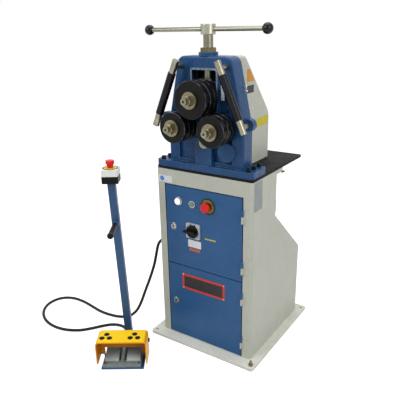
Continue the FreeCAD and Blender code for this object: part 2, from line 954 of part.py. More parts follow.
def door_controls():
    """Pilot lamp, push button, emergency stop and main switch."""
    back = front + d.control_depth

    def stem(x, height, bore):
        tube = rod("y", d.control_hole, front, back, x, height)
        return cut(tube, rod("y", bore, front, back, x, height)) if bore else tube

    pilot_lens = rod("y", d.pilot_diameter, front - d.pilot_proud, front, d.pilot_x, pilot_height)
    pilot = fuse(pilot_lens, stem(d.pilot_x, pilot_height, None))
    cap_bore = d.push_cap + d.control_play * 2
    neck_bore = d.stop_neck + d.control_play * 2
    bezel_front = front - d.push_bezel_proud
    bezel = ring("y", d.push_bezel, cap_bore, bezel_front, front, d.push_x, push_height)
    bezel = fuse(bezel, stem(d.push_x, push_height, cap_bore))
    collar_front = front - d.stop_collar_proud
    collar = ring("y", d.stop_collar, neck_bore, collar_front, front, d.stop_x, stop_height)
    collar = fuse(collar, stem(d.stop_x, stop_height, neck_bore))
    node("control_bezels", group(pilot, bezel, collar))
    cap_end = front + d.control_depth / 2
    cap = rod("y", d.push_cap, front - d.push_proud - d.push_bezel_proud, cap_end, d.push_x, push_height)
    node("push_button", cap)
    head_front = front - d.stop_proud
    stop = Solid("stop_button_body")
    stop.pad("y", head_front, head_front + d.stop_head_depth, (d.stop_x, stop_height, d.stop_head))
    stop.round_where(d.stop_head_depth / 3, circle_rims(d.stop_head))
    stop.pad("y", head_front + d.stop_head_depth / 2, cap_end, (d.stop_x, stop_height, d.stop_neck))
    node("stop_button", stop.body)


def main_switch():
    half = d.switch_plate / 2
    x, z = d.switch_x, switch_height
    plate_front = front - d.switch_plate_thickness
    plate = Solid("switch_plate_body")
    corners = [(x + half * a, z + half * b) for a in (-1, 1) for b in (-1, 1)]
    plate.pad("y", plate_front, front, rectangle(x - half, z - half, x + half, z + half))
    plate.round(d.switch_plate_corner, "y", *corners)
    plate.pad("y", front - RUN_PAST, front + d.control_depth, (x, z, d.control_hole))
    body = d.switch_body / 2
    block = rectangle(x - body, z - body, x + body, z + body)
    plate.pad("y", front + d.door_depth, front + d.control_depth, block)
    bore = (x, z, d.switch_shaft + d.control_play * 2)
    plate.pocket("y", plate_front - RUN_PAST, front + d.control_depth + RUN_PAST, bore)
    node("switch_plate", plate.body)
    knob_back = plate_front - d.slide_gap
    knob_front = knob_back - d.switch_knob_base
    knob = Solid("switch_knob_body")
    knob.pad("y", knob_front, knob_back, (x, z, d.switch_knob))
    grip_half = d.switch_grip_width / 2
    tip_half = grip_half / 3
    tip = x - d.switch_grip_reach
    tail = x + d.switch_grip_tail
    grip = [
        (tip, z - tip_half),
        (x, z - grip_half),
        (tail, z - grip_half),
        (tail, z + grip_half),
        (x, z + grip_half),
        (tip, z + tip_half),
    ]
    knob.pad("y", knob_front - d.switch_grip_height, knob_front, grip)
    knob.round(grip_half * 0.8, "y", (tail, z - grip_half), (tail, z + grip_half))
    knob.pad("y", knob_back - RUN_PAST, front + d.control_depth - RUN_PAST, (x, z, d.switch_shaft))
    node("switch_knob", knob.body)


# ---------------------------------------------------------------- table
def bolt_places():
    rows = [screw_y + d.bolt_pitch * step for step in (-1, 0, 1)]
    return [(bolt_x * side, y) for side in (-1, 1) for y in rows]


def table():
    half = table_width / 2
    table_front = front + d.table_setback
    table_rear = table_front + d.table_depth
    plate = Solid("table_body")
    plate.pad("z", d.table_height, table_top, rectangle(-half, table_front, half, table_rear))
    corners = [(x, y) for x in (-half, half) for y in (table_front, table_rear)]
    plate.round(d.table_corner, "z", *corners)
    holes = [(x, y, d.bolt_shank) for x, y in bolt_places()]
    plate.pocket("z", d.table_height - RUN_PAST, table_top + RUN_PAST, *holes)
    node("table", plate.body)
    gusset = Solid("gusset_body")
    high = d.table_height
    low = high - d.gusset_drop
    tip = rear_top + d.gusset_length
    outer = half_cabinet - d.gusset_inset
    outline = [(rear_top, low), (tip - d.gusset_slant, low), (tip, high), (rear_top, high)]
    gusset.pad("x", outer - d.gusset_thickness, outer, outline)
    node("table_gussets", group(gusset.body, mirrored(gusset.body)))


# ---------------------------------------------------------------- head
def bar_direction():
    """Sine and cosine of the side bars' slant, and their length."""
    run = bar_foot_x - bar_head_x
    rise = bar_head_height - bar_foot_height
    length = root(run * run + rise * rise)
    return run / length, rise / length, length


def stud_places():
    """Centres of the right side bar's two studs, in the plane of the casting's face."""
    sine, cosine, length = bar_direction()
    near = d.bar_end_length / 2
    far = length - near
    low = (bar_foot_x - sine * near, bar_foot_height + cosine * near)
    high = (bar_foot_x - sine * far, bar_foot_height + cosine * far)
    return low, high


def head_casting():
    half = casting_width / 2
    half_top = d.casting_top_width / 2
    recess_y = casting_front + d.recess_depth
    casting = Solid("head_casting_body")
    outline = [
        (-half, table_top),
        (half, table_top),
        (half, casting_shoulder),
        (half_top, casting_top),
        (-half_top, casting_top),
        (-half, casting_shoulder),
    ]
    casting.pad("y", casting_front, casting_rear, outline)
    casting.round(d.casting_corner, "y", (-half_top, casting_top), (half_top, casting_top))
    face_y = casting_front.value
    low_z = table_top.value + RUN_PAST

    def front_outline(edge):
        box_ = edge.BoundBox
        flat = abs(box_.YMin - face_y) < 0.01 and abs(box_.YMax - face_y) < 0.01
        return flat and box_.ZMax > low_z

    casting.round_where(d.casting_edge, front_outline)
    half_flange = flange_width / 2
    flange_front = screw_y - flange_depth / 2
    flange_rear = screw_y + flange_depth / 2
    casting.pad("z", table_top, flange_top, rectangle(-half_flange, flange_front, half_flange, flange_rear))
    corners = [(x, y) for x in (-half_flange, half_flange) for y in (flange_front, flange_rear)]
    casting.round(d.flange_corner, "z", *corners)
    add_front_features(casting, recess_y)
    add_ears(casting, half)
    casting.pad("z", casting_top - RUN_PAST, casting_top + d.seat_height, (0, screw_y, d.seat_diameter))
    bore_casting(casting)
    node("head_casting", casting.body)


def add_front_features(casting, recess_y):
    """Recess in the front with bearing bosses, window rim, centre pad and a side boss in it."""
    low_half = recess_width / 2
    top_half = recess_top_width / 2
    recess = [
        (-low_half, recess_low),
        (low_half, recess_low),
        (low_half, casting_shoulder),
        (top_half, recess_high),
        (-top_half, recess_high),
        (-low_half, casting_shoulder),
    ]
    casting.pocket("y", casting_front - RUN_PAST, recess_y, recess)
    boss = d.bearing_outer + d.bearing_wall * 2
    for side in (-1, 1):
        circle = (half_spacing * side, lower_height, boss)
        casting.pad("y", casting_front, recess_y + RUN_PAST, circle)
    rim_half = d.window_width / 2 + d.rim_width
    rim_low = window_low - d.rim_width
    rim = rectangle(-rim_half, rim_low, rim_half, window_high + d.rim_width)
    casting.pad("y", casting_front - d.rim_proud, recess_y + RUN_PAST, rim)
    pad_half = d.pad_width / 2
    pad = rectangle(-pad_half, flange_top - RUN_PAST, pad_half, pad_high)
    casting.pad("y", casting_front - d.pad_proud, recess_y + RUN_PAST, pad)
    side_boss = (side_boss_x, side_boss_height, d.side_boss)
    casting.pad("y", casting_front - d.side_boss_proud, recess_y + RUN_PAST, side_boss)


def add_ears(casting, half):
    """Round ears that carry the lower studs of the side bars."""
    (stud_x, stud_z), _ = stud_places()
    radius = d.ear_diameter / 2
    inner = half - d.casting_edge * 3
    for side in (-1, 1):
        web = rectangle(inner * side, stud_z - radius, stud_x * side, stud_z + radius)
        casting.pad("y", casting_front, casting_front + d.ear_depth, web)
        circle = (stud_x * side, stud_z, d.ear_diameter)
        casting.pad("y", casting_front, casting_front + d.ear_depth, circle)


def bore_casting(casting):
    """Window with its grooves, bearing bores, screw bore, stud and bolt holes."""
    y_low = casting_front - d.pad_proud - RUN_PAST
    y_high = casting_rear + RUN_PAST
    half = d.window_width / 2
    window = rectangle(-half, window_low, half, window_high)
    casting.pocket("y", y_low, y_high, window)
    corners = [(x, z) for x in (-half, half) for z in (window_low, window_high)]
    casting.round(d.window_corner, "y", *corners)
    groove_half = d.tongue_width / 2 + d.slide_gap
    depth = half + d.tongue_depth
    groove = rectangle(screw_y - groove_half, window_low, screw_y + groove_half, window_high)
    casting.pocket("x", -depth, depth, groove)
    bores = [(half_spacing * side, lower_height, d.bearing_outer) for side in (-1, 1)]
    bores.append((0, drive_height, d.drive_bush))
    casting.pocket("y", y_low, y_high, *bores)
    seat_top = casting_top + d.seat_height
    casting.pocket("z", window_high - RUN_PAST, seat_top + RUN_PAST, (0, screw_y, d.nut_spigot))
    studs = [(x * side, z, d.bar_stud) for x, z in stud_places() for side in (-1, 1)]
    casting.pocket("y", casting_front - RUN_PAST, casting_front + d.bar_stud_sink, *studs)
    holes = [(x, y, d.bolt_hole) for x, y in bolt_places()]
    casting.pocket("z", table_top - RUN_PAST, flange_top + RUN_PAST, *holes)


def head_bolts():
    head_top = flange_top + d.bolt_head_height
    bolts = []
    for x, y in bolt_places():
        shank = rod("z", d.bolt_shank, d.table_height, flange_top + RUN_PAST, x, y)
        head = rod("z", d.bolt_head, flange_top, head_top, x, y)
        socket = hexagon("z", d.bolt_socket, head_top - d.bolt_head_height / 2, d.bolt_head_height, x, y)
        bolts.append(cut(fuse(shank, head), socket))
    node("head_bolts", group(*bolts))


def side_bars():
    """Slanting bars on both sides: built upright at the foot, then turned about Y."""
    sine, _, length = bar_direction()
    bar_y = casting_front - d.bar_standoff
    end = d.bar_end_length
    stud_end = d.bar_standoff + d.bar_stud_sink

    def slant(piece):
        piece.Placement = Placement(Vector(), Rotation(Vector(0, -1, 0), 1))
        piece.setExpression("Placement.Rotation.Angle", f"asin({sine.text})")
        bind(piece, "Placement.Base.x", bar_foot_x)
        bind(piece, "Placement.Base.y", bar_y)
        bind(piece, "Placement.Base.z", bar_foot_height)
        return piece

    core = rod("z", d.bar_core, 0, length, 0, 0)
    ends = [rod("z", d.bar_end, 0, end, 0, 0), rod("z", d.bar_end, length - end, length, 0, 0)]
    studs = [rod("y", d.bar_stud, 0, stud_end, 0, place) for place in (end / 2, length - end / 2)]
    bar = slant(fuse(core, *ends, *studs))
    node("guide_bars", group(bar, mirrored(bar)))
    sleeve = slant(group(ring("z", d.bar_sleeve, d.bar_core, end, length - end, 0, 0)))
    node("guide_sleeves", group(sleeve, mirrored(sleeve)))


def lower_bearings():
    bore = d.shaft_diameter + d.bearing_play * 2
    bearings = []
    for side in (-1, 1):
        for low in (casting_front, casting_rear - d.bearing_width):
            high = low + d.bearing_width
            bearings.append(
                ring("y", d.bearing_outer, bore, low, high, half_spacing * side, lower_height)
            )
    node("lower_bearings", group(*bearings))
    bush_front = casting_front - d.pad_proud + d.disc_edge
    bore = d.drive_shaft + d.bearing_play * 2
    node("drive_bush", ring("y", d.drive_bush, bore, bush_front, casting_rear, 0, drive_height))


# ---------------------------------------------------------------- feed screw, carriage and handle
def screw_and_nut():
    seat_top = casting_top + d.seat_height
    spigot = rod("z", d.nut_spigot, seat_top - d.nut_spigot_length, seat_top + RUN_PAST, 0, screw_y)
    blank = common(
        hexagon("z", d.nut_flats, seat_top, d.nut_height, 0, screw_y),
        taper("z", d.nut_flats + d.nut_height * 4, d.nut_flats, seat_top, d.nut_height, 0, screw_y),
    )
    bore = d.screw_diameter + d.screw_play * 2
    hole = rod("z", bore, window_high - RUN_PAST, handle_height, 0, screw_y)
    node("screw_nut", cut(fuse(spigot, blank), hole))
    hub_low = handle_height - d.hub_height / 2
    hub_high = handle_height + d.hub_height / 2
    disc_low = carriage_high - d.screw_disc_height
    disc_top = carriage_high - d.screw_play
    bar_hole = rod("x", d.handle_bar, -d.hub_diameter, d.hub_diameter, screw_y, handle_height)
    screw = fuse(
        rod("z", d.screw_diameter, disc_low, hub_high, 0, screw_y),
        rod("z", d.screw_disc, disc_low, disc_top, 0, screw_y),
    )
    node("lead_screw", cut(screw, bar_hole))
    hub = Solid("handle_hub_body")
    hub.pad("z", hub_low, hub_high, (0, screw_y, d.hub_diameter))
    hub.round_where(d.disc_edge, circle_rims(d.hub_diameter))
    hub.pocket("z", hub_low - RUN_PAST, hub_high + RUN_PAST, (0, screw_y, d.screw_diameter))
    bar_circle = (screw_y, handle_height, d.handle_bar)
    hub.pocket("x", -d.hub_diameter, d.hub_diameter, bar_circle)
    node("handle_hub", hub.body)
    bar = rod("x", d.handle_bar, -d.handle_left, d.handle_right, screw_y, handle_height)
    node("handle_bar", bar)
    knobs = []
    for x, inward in ((-d.handle_left, 1), (d.handle_right, -1)):
        ball = document.addObject("Part::Sphere", "ball")
        bind(ball, "Radius", d.handle_ball / 2)
        put(ball, x, screw_y, handle_height)
        ends = sorted((x, x + d.handle_ball * inward), key=lambda size: size.value)
        knobs.append(cut(ball, rod("x", d.handle_bar, *ends, screw_y, handle_height)))
    node("handle_knobs", group(*knobs))


def carriage():
    tongue_half = d.tongue_width / 2
    reach = carriage_half + d.tongue_depth - d.slide_gap
    block = Solid("carriage_body")
    low, high = carriage_low, carriage_high
    block.pad("y", casting_front, casting_rear, rectangle(-carriage_half, low, carriage_half, high))
    corners = [(x, z) for x in (-carriage_half, carriage_half) for z in (low, high)]
    block.round(d.window_corner, "y", *corners)
    tongue = rectangle(screw_y - tongue_half, low, screw_y + tongue_half, high)
    block.pad("x", -reach, reach, tongue)
    bore = (0, top_height, d.bearing_outer)
    block.pocket("y", casting_front - RUN_PAST, casting_rear + RUN_PAST, bore)
    disc = (0, screw_y, d.screw_disc + d.screw_play * 2)
    block.pocket("z", high - d.screw_disc_height - d.screw_play, high + RUN_PAST, disc)
    node("carriage", block.body)
    bearing_bore = d.shaft_diameter + d.bearing_play * 2
    rings = []
    for y in (casting_front, casting_rear - d.bearing_width):
        end = y + d.bearing_width
        rings.append(ring("y", d.bearing_outer, bearing_bore, y, end, 0, top_height))
    node("top_bearings", group(*rings))
    keeper_bore = d.screw_diameter + d.screw_play * 2
    keeper_high = high + d.keeper_height
    node("screw_keeper", ring("z", d.keeper_diameter, keeper_bore, high, keeper_high, 0, screw_y))


# ---------------------------------------------------------------- rolls and shafts
def roll_set(name, x, z, diameter):
    """Three discs with a spacer between neighbours."""
    pieces = []
    pitch = d.disc_width + d.spacer_width
    for step in range(3):
        y = roll_front + pitch * step
        disc = Solid(name + "_disc")
        disc.pad("y", y, y + d.disc_width, (x, z, diameter))
        disc.round_where(d.disc_edge, circle_rims(diameter))
        disc.pocket("y", y - RUN_PAST, y + d.disc_width + RUN_PAST, (x, z, d.shaft_diameter))
        pieces.append(disc.body)
        if step:
            spacer = diameter - d.spacer_step * 2
            pieces.append(ring("y", spacer, d.shaft_diameter, y - d.spacer_width, y, x, z))
    node(name, group(*pieces))


def shaft(name, x, z, tail_nut):
    """Stepped shaft: threaded nose, seat for the rolls, collar, bearing seats and tail."""
    tail_end = tail_nut + d.tail_nut_thickness + 1
    thread = rod("y", d.thread_diameter, shaft_front, roll_front, x, z)
    seat = rod("y", d.shaft_diameter, roll_front, casting_rear + 1, x, z)
    collar_end = casting_front - d.collar_gap
    collar = rod("y", d.collar_diameter, roll_rear, collar_end, x, z)
    tail = rod("y", d.tail_diameter, casting_rear + 1, tail_end, x, z)
    centre = rod("y", d.centre_hole, shaft_front, shaft_front + d.centre_hole_depth, x, z)
    node(name, cut(fuse(thread, seat, collar, tail), centre))


def fasteners(name, x, z, tail_front):
    """Washer and nut in front, and a round nut on the tail."""
    washer = ring("y", d.washer_diameter, d.thread_diameter, washer_front, roll_front, x, z)
    nut = hex_nut("-y", d.nut_across, d.thread_diameter, washer_front, d.nut_thickness, x, z)
    tail_back = tail_front + d.tail_nut_thickness
    tail_nut = ring("y", d.tail_nut, d.tail_diameter, tail_front, tail_back, x, z)
    node(name, group(washer, nut, tail_nut))


def rolls():
    top_nut = casting_rear + d.gear_setback
    shaft("top_shaft", 0, top_height, top_nut)
    roll_set("top_roll_set", 0, top_height, d.top_roll)
    fasteners("top_fasteners", 0, top_height, top_nut)
    for name, side in (("left", -1), ("right", 1)):
        x = half_spacing * side
        shaft(name + "_shaft", x, lower_height, gear_rear)
        roll_set(name + "_roll_set", x, lower_height, d.lower_roll)
        fasteners(name + "_fasteners", x, lower_height, gear_rear)


# ---------------------------------------------------------------- gears
def involute_half_angle(radius, pitch_radius, teeth, backlash):
    """Half the angle that a tooth covers at a radius, in radians."""
    pressure = math.radians(PRESSURE_ANGLE)
    base_radius = pitch_radius * math.cos(pressure)
    local = math.acos(min(1.0, base_radius / radius))
    involute = math.tan(pressure) - pressure - math.tan(local) + local
    return math.pi / (2 * teeth) - backlash / (2 * pitch_radius) + involute


def gear_blank(teeth, module, phase, backlash, width):
    """Spur gear about the Y axis at the origin; phase is the angle of one tooth from +X."""
    pitch_radius = module * teeth / 2
    tip = pitch_radius + ADDENDUM * module
    foot = pitch_radius - DEDENDUM * module
    base = max(foot, pitch_radius * math.cos(math.radians(PRESSURE_ANGLE)))
    levels = [foot, base, (base + pitch_radius) / 2, pitch_radius, (pitch_radius + tip) / 2, tip]
    flank = []
    for radius in levels:
        angle = involute_half_angle(max(radius, base), pitch_radius, teeth, backlash)
        flank.append((radius, angle))
    points = []
    for tooth in range(teeth):
        middle = phase + 2 * math.pi * tooth / teeth
        for radius, angle in [(r, -a) for r, a in flank] + [(r, a) for r, a in reversed(flank)]:
            turn = middle + angle
            points.append(Vector(radius * math.cos(turn), 0, radius * math.sin(turn)))
    outline = Part.makePolygon(points + points[:1])
    return Part.Face(outline).extrude(Vector(0, width, 0))


def gears():
    """Roll gears on both lower shafts, driven by one gear below and between them."""
    spacing = sheet.get("lower_spacing") / 2
    drop = sheet.get("drive_drop")
    roll_teeth = round(sheet.get("roll_teeth"))
    drive_teeth = round(sheet.get("drive_teeth"))
    module = 2 * math.hypot(spacing, drop) / (roll_teeth + drive_teeth)
    backlash = sheet.get("gear_backlash")
    width = gear_width = sheet.get("gear_width")
    upright = math.pi / 2
    line = math.atan2(drop, spacing)
    # at the point of contact a gap of the roll gear faces the matching place of the drive gear
    lead = (line - upright) * drive_teeth / roll_teeth
    roll_phase = line + math.pi + lead + math.pi / roll_teeth
    axle = sheet.get("tail_diameter") / 2
    blank = gear_blank(roll_teeth, module, roll_phase, backlash, width)
    bore = Part.makeCylinder(axle, width, Vector(), Vector(0, 1, 0))
    right = document.addObject("Part::Feature", "roll_gear")
    right.Shape = blank.cut(bore)
    put(right, half_spacing, gear_front, lower_height)
    node("right_gear", right)
    left = group(mirrored(right))
    node("left_gear", left)
    driver = document.addObject("Part::Feature", "driver")
    driver.Shape = gear_blank(drive_teeth, module, upright, backlash, gear_width)
    put(driver, 0, gear_front, drive_height)
    shaft_low = casting_front - d.pad_proud + d.disc_edge
    shaft_high = gear_rear + d.drive_reach
    arbor = rod("y", d.drive_shaft, shaft_low, shaft_high, 0, drive_height)
    node("drive_gear", fuse(driver, arbor))


# ---------------------------------------------------------------- cover and gearmotor
def cover_solid(name, inset, past):
    """Outline of the rear cover as one solid, drawn in by `inset` and open ends run `past`."""
    half = d.cover_width / 2 - inset
    rear = casting_rear + d.cover_depth
    top_rear = casting_rear + d.cover_top_depth
    run = rear - top_rear
    fall = cover_top - cover_shoulder
    length = root(run * run + fall * fall)
    start = casting_rear - past
    top_corner = (top_rear - inset * (length - run) / fall, cover_top - inset)
    rear_corner = (rear - inset, cover_shoulder - inset * (length - fall) / run)
    profile = [
        (start, table_top - past),
        (start, cover_top - inset),
        top_corner,
        rear_corner,
        (rear - inset, table_top - past),
    ]
    solid = Solid(name)
    solid.pad("x", -half, half, profile)
    solid.round(d.cover_top_round - inset, "x", top_corner)
    solid.round(d.cover_rear_round - inset, "x", rear_corner)
    side = half.value
    bottom = (table_top - past).value
    front_y = start.value

    def side_rim(edge):
        reach = edge.BoundBox
        on_side = abs(abs(reach.XMin) - side) < 0.01 and reach.XLength < 0.01
        at_front = reach.YMax < front_y + 0.01
        at_bottom = reach.ZMax < bottom + 0.01
        return on_side and not at_front and not at_bottom

    solid.round_where(d.cover_edge - inset, side_rim)
    case_half = gear_case_width / 2 - inset
    case_low = flange_top + d.gear_case_gap + inset
    case_rear_y = casting_rear + d.gear_case_depth - inset
    case = rectangle(-case_half, case_low, case_half, gear_case_high - inset)
    solid.pad("y", start, case_rear_y, case)
    solid.round(d.cover_edge - inset, "z", (-case_half, case_rear_y), (case_half, case_rear_y))
    return solid.body


def rear_cover():
    shell = cut(
        cover_solid("cover_outside", as_size(0), as_size(0)),
        cover_solid("cover_inside", d.cover_sheet, as_size(RUN_PAST)),
    )
    half = d.cover_width / 2 + RUN_PAST
    notch_rear = screw_y + flange_depth / 2 + d.slide_gap
    notch_high = flange_top + d.slide_gap
    low = (-half, casting_rear - RUN_PAST, table_top - RUN_PAST)
    notch = box(low, (half, notch_rear, notch_high))
    node("rear_cover", cut(shell, notch))


def gearmotor():
    half = d.gearbox_width / 2
    low_y = casting_rear + d.gearbox_setback
    high_y = low_y + d.gearbox_depth
    middle = (low_y + high_y) / 2
    foot_high = table_top + d.gearbox_foot
    top = table_top + d.gearbox_height
    margin = d.gearbox_foot_margin
    foot = box((-half - margin, low_y, table_top), (half + margin, high_y + margin, foot_high))
    case = box((-half, low_y, table_top), (half, high_y, top))
    motor_top = top + d.motor_height
    motor = rod("z", d.motor_diameter, top - RUN_PAST, motor_top, 0, middle)
    cap_diameter = d.motor_diameter + d.motor_cap_margin
    cap = rod("z", cap_diameter, motor_top, motor_top + d.motor_cap, 0, middle)
    bore = d.drive_shaft + d.bearing_play * 2
    hole = rod("y", bore, low_y - RUN_PAST, gear_rear + d.drive_reach + RUN_PAST, 0, drive_height)
    node("gearmotor", cut(fuse(foot, case, motor, cap), hole))


# ---------------------------------------------------------------- pedal station
def at_station(piece):
    """Place a piece that is drawn in the pedal station's own frame."""
    piece.Placement = Placement(Vector(), Rotation(Vector(0, 0, 1), 1))
    bind(piece, "Placement.Base.x", d.station_x)
    bind(piece, "Placement.Base.y", d.station_y)
    bind(piece, "Placement.Rotation.Angle", d.station_turn)
    return piece


def station_point(x, y, z):
    """Where a point of the pedal station's frame lies in the machine's frame."""
    turn = math.radians(d.station_turn.value)
    x, y, z = (as_size(value).value for value in (x, y, z))
    return Vector(
        d.station_x.value + x * math.cos(turn) - y * math.sin(turn),
        d.station_y.value + x * math.sin(turn) + y * math.cos(turn),
        z,
    )


station_middle = d.foot_plate_width / 2
guard_left = station_middle - 1 - d.guard_width / 2
guard_right = guard_left + d.guard_width
case_floor = d.foot_plate_thickness
case_left = d.switch_case_margin
case_right = d.foot_plate_width - d.switch_case_margin * 2
case_rear = d.switch_case_front + d.switch_case_depth
rib_left = (case_left + case_right - d.rib_width) / 2
guard_screw_y = d.foot_bracket_rear - d.foot_bracket_depth / 2
guard_screw_height = d.guard_high - d.guard_screw_drop
foot_bracket_height = guard_screw_height + d.foot_bracket_above
pedal_front_height = case_floor + d.pedal_front_rise
pedal_pin_height = case_floor + d.pedal_pin_rise
pole_x = station_middle + d.pole_offset
pole_y = d.foot_plate_depth - d.pole_setback


def foot_base_plate():
    plate = Solid("foot_plate_body")
    thickness = d.foot_plate_thickness
    plate.pad("z", 0, thickness, rectangle(0, 0, d.foot_plate_width, d.foot_plate_depth))
    bracket_front = d.foot_bracket_rear - d.foot_bracket_depth
    inner_left = guard_left + d.guard_sheet
    inner_right = guard_right - d.guard_sheet
    sheet_ = d.foot_bracket_sheet
    arm_low = d.bracket_arm_low
    for outer, edge, post in (
        (inner_left, as_size(0), case_left - d.guard_tab_gap),
        (inner_right, d.foot_plate_width, case_right + d.guard_tab_gap),
    ):
        bracket = [
            (outer, arm_low),
            (outer, foot_bracket_height),
            (post, foot_bracket_height),
            (post, 0),
            (edge, 0),
            (edge, arm_low),
        ]
        plate.pad("y", bracket_front, bracket_front + sheet_, bracket)
    sides = ((inner_left, inner_left + sheet_), (inner_right - sheet_, inner_right))
    upright = rectangle(bracket_front, arm_low, d.foot_bracket_rear, foot_bracket_height)
    screw = (guard_screw_y, guard_screw_height, d.guard_screw)
    for low, high in sides:
        plate.pad("x", low, high, upright)
        plate.pocket("x", low - RUN_PAST, high + RUN_PAST, screw)
    node("foot_base_plate", at_station(plate.body))


def foot_housing():
    """Switch housing: tray, front sill, middle rib and rear block."""
    wall_y = case_rear - d.rear_block_depth
    tray_top = case_floor + d.switch_case_floor
    housing = Solid("foot_housing_body")
    tray = rectangle(case_left, d.switch_case_front, case_right, case_rear)
    housing.pad("z", case_floor, tray_top, tray)
    sill_rear = d.switch_case_front + d.sill_depth
    sill = rectangle(case_left, d.switch_case_front, case_right, sill_rear)
    housing.pad("z", case_floor, case_floor + d.sill_height, sill)
    block = rectangle(case_left, wall_y, case_right, case_rear)
    housing.pad("z", case_floor, case_floor + d.rear_block_height, block)
    rib = [
        (sill_rear - RUN_PAST, case_floor),
        (sill_rear - RUN_PAST, case_floor + d.sill_height),
        (d.pedal_front, pedal_front_height),
        (wall_y, pedal_front_height + d.pedal_rise * (wall_y - d.pedal_front) / d.pedal_depth),
        (wall_y, case_floor),
    ]
    housing.pad("x", rib_left, rib_left + d.rib_width, rib)
    pin = (d.pedal_pin_y, pedal_pin_height, d.pedal_pin)
    housing.pocket("x", rib_left - RUN_PAST, rib_left + d.rib_width + RUN_PAST, pin)
    for left in (case_left, case_right - d.switch_case_floor):
        lug_rear = d.pedal_pin_y + d.pedal_pin
        lug = rectangle(sill_rear - RUN_PAST, case_floor, lug_rear, case_floor + d.sill_height)
        housing.pad("x", left, left + d.switch_case_floor, lug)
        housing.pocket("x", left - RUN_PAST, left + d.switch_case_floor + RUN_PAST, pin)
    gland = (d.foot_gland_x, d.foot_gland_height, d.gland_thread)
    housing.pocket("y", wall_y - RUN_PAST, case_rear + RUN_PAST, gland)
    node("foot_housing", at_station(housing.body))
    pin_rod = rod("x", d.pedal_pin, case_left, case_right, d.pedal_pin_y, pedal_pin_height)
    node("pedal_pin", at_station(group(pin_rod)))


def pedal(name, left):
    """Sloping tread with a barrel that turns on the pedal pin."""
    tread = Solid(name + "_body")
    rear = d.pedal_front + d.pedal_depth
    high = pedal_front_height + d.pedal_rise
    profile = [
        (d.pedal_front, pedal_front_height - d.pedal_thickness),
        (rear, high - d.pedal_thickness),
        (rear, high),
        (d.pedal_front, pedal_front_height),
    ]
    tread.pad("x", left, left + d.pedal_width, profile)
    barrel = (d.pedal_pin_y, pedal_pin_height, d.pedal_barrel)
    tread.pad("x", left, left + d.pedal_width, barrel)
    bore = (d.pedal_pin_y, pedal_pin_height, d.pedal_pin + d.pin_play * 2)
    tread.pocket("x", left - RUN_PAST, left + d.pedal_width + RUN_PAST, bore)
    node(name, at_station(tread.body))


def guard_back(guard, inner_left, inner_right):
    """Rear wall of the guard: high over the pedals, with a tab down on both sides of them."""
    wall = d.guard_sheet
    middle_radius = d.guard_corner - wall / 2
    slant = d.guard_corner - middle_radius * 0.414
    half_wall = wall / 2
    left = case_left - d.guard_tab_gap
    right = case_right + d.guard_tab_gap
    back = [
        (inner_left - half_wall, d.guard_tab_low),
        (left, d.guard_tab_low),
        (left, d.guard_back_low),
        (right, d.guard_back_low),
        (right, d.guard_tab_low),
        (inner_right + half_wall, d.guard_tab_low),
        (inner_right + half_wall, d.guard_high - slant),
        (guard_right - slant, d.guard_high - half_wall),
        (guard_left + slant, d.guard_high - half_wall),
        (inner_left - half_wall, d.guard_high - slant),
    ]
    rear = d.foot_bracket_rear - d.foot_bracket_depth
    guard.pad("y", rear - wall, rear, back)


def pedal_guard():
    guard = Solid("pedal_guard_body")
    wall = d.guard_sheet
    inner_left = guard_left + wall
    inner_right = guard_right - wall
    section = [
        (guard_left, d.guard_low),
        (inner_left, d.guard_low),
        (inner_left, d.guard_high - wall),
        (inner_right, d.guard_high - wall),
        (inner_right, d.guard_low),
        (guard_right, d.guard_low),
        (guard_right, d.guard_high),
        (guard_left, d.guard_high),
    ]
    guard.pad("y", 0, d.guard_depth, section)
    guard.round(d.guard_corner, "y", (guard_left, d.guard_high), (guard_right, d.guard_high))
    inner = d.guard_corner - wall
    inner_top = d.guard_high - wall
    guard.round(inner, "y", (inner_left, inner_top), (inner_right, inner_top))
    guard.round(d.guard_toe, "x", (0, d.guard_low))
    guard_back(guard, inner_left, inner_right)
    holes = []
    for middle in (station_middle - d.guard_hole_x, station_middle + d.guard_hole_x * 0.77):
        half = d.guard_hole_pitch / 2
        holes.append((middle - half, d.guard_hole_front, d.guard_hole))
        holes.append((middle + half, d.guard_hole_front, d.guard_hole))
        holes.append((middle, d.guard_hole_front + d.guard_hole_row, d.guard_hole))
    guard.pocket("z", d.guard_high - wall - RUN_PAST, d.guard_high + RUN_PAST, *holes)
    screw = (guard_screw_y, guard_screw_height, d.guard_screw)
    guard.pocket("x", guard_left - RUN_PAST, inner_left + RUN_PAST, screw)
    guard.pocket("x", inner_right - RUN_PAST, guard_right + RUN_PAST, screw)
    node("pedal_guard", at_station(guard.body))
    reach = wall + d.foot_bracket_sheet
    y, z = guard_screw_y, guard_screw_height
    screws = []
    for face, knob_low, shank_low in (
        (guard_left, guard_left - d.guard_knob_height, guard_left - RUN_PAST),
        (guard_right, guard_right, guard_right - reach),
    ):
        knob = rod("x", d.guard_knob, knob_low, knob_low + d.guard_knob_height, y, z)
        shank = rod("x", d.guard_screw, shank_low, shank_low + reach + RUN_PAST, y, z)
        screws.append(fuse(knob, shank))
    node("guard_screws", at_station(group(*screws)))


def pole_centre(height):
    """Where the leaning pole's middle is at a height."""
    share = (as_size(height) - case_floor) / (d.pole_top - case_floor)
    return pole_x - d.pole_lean * share


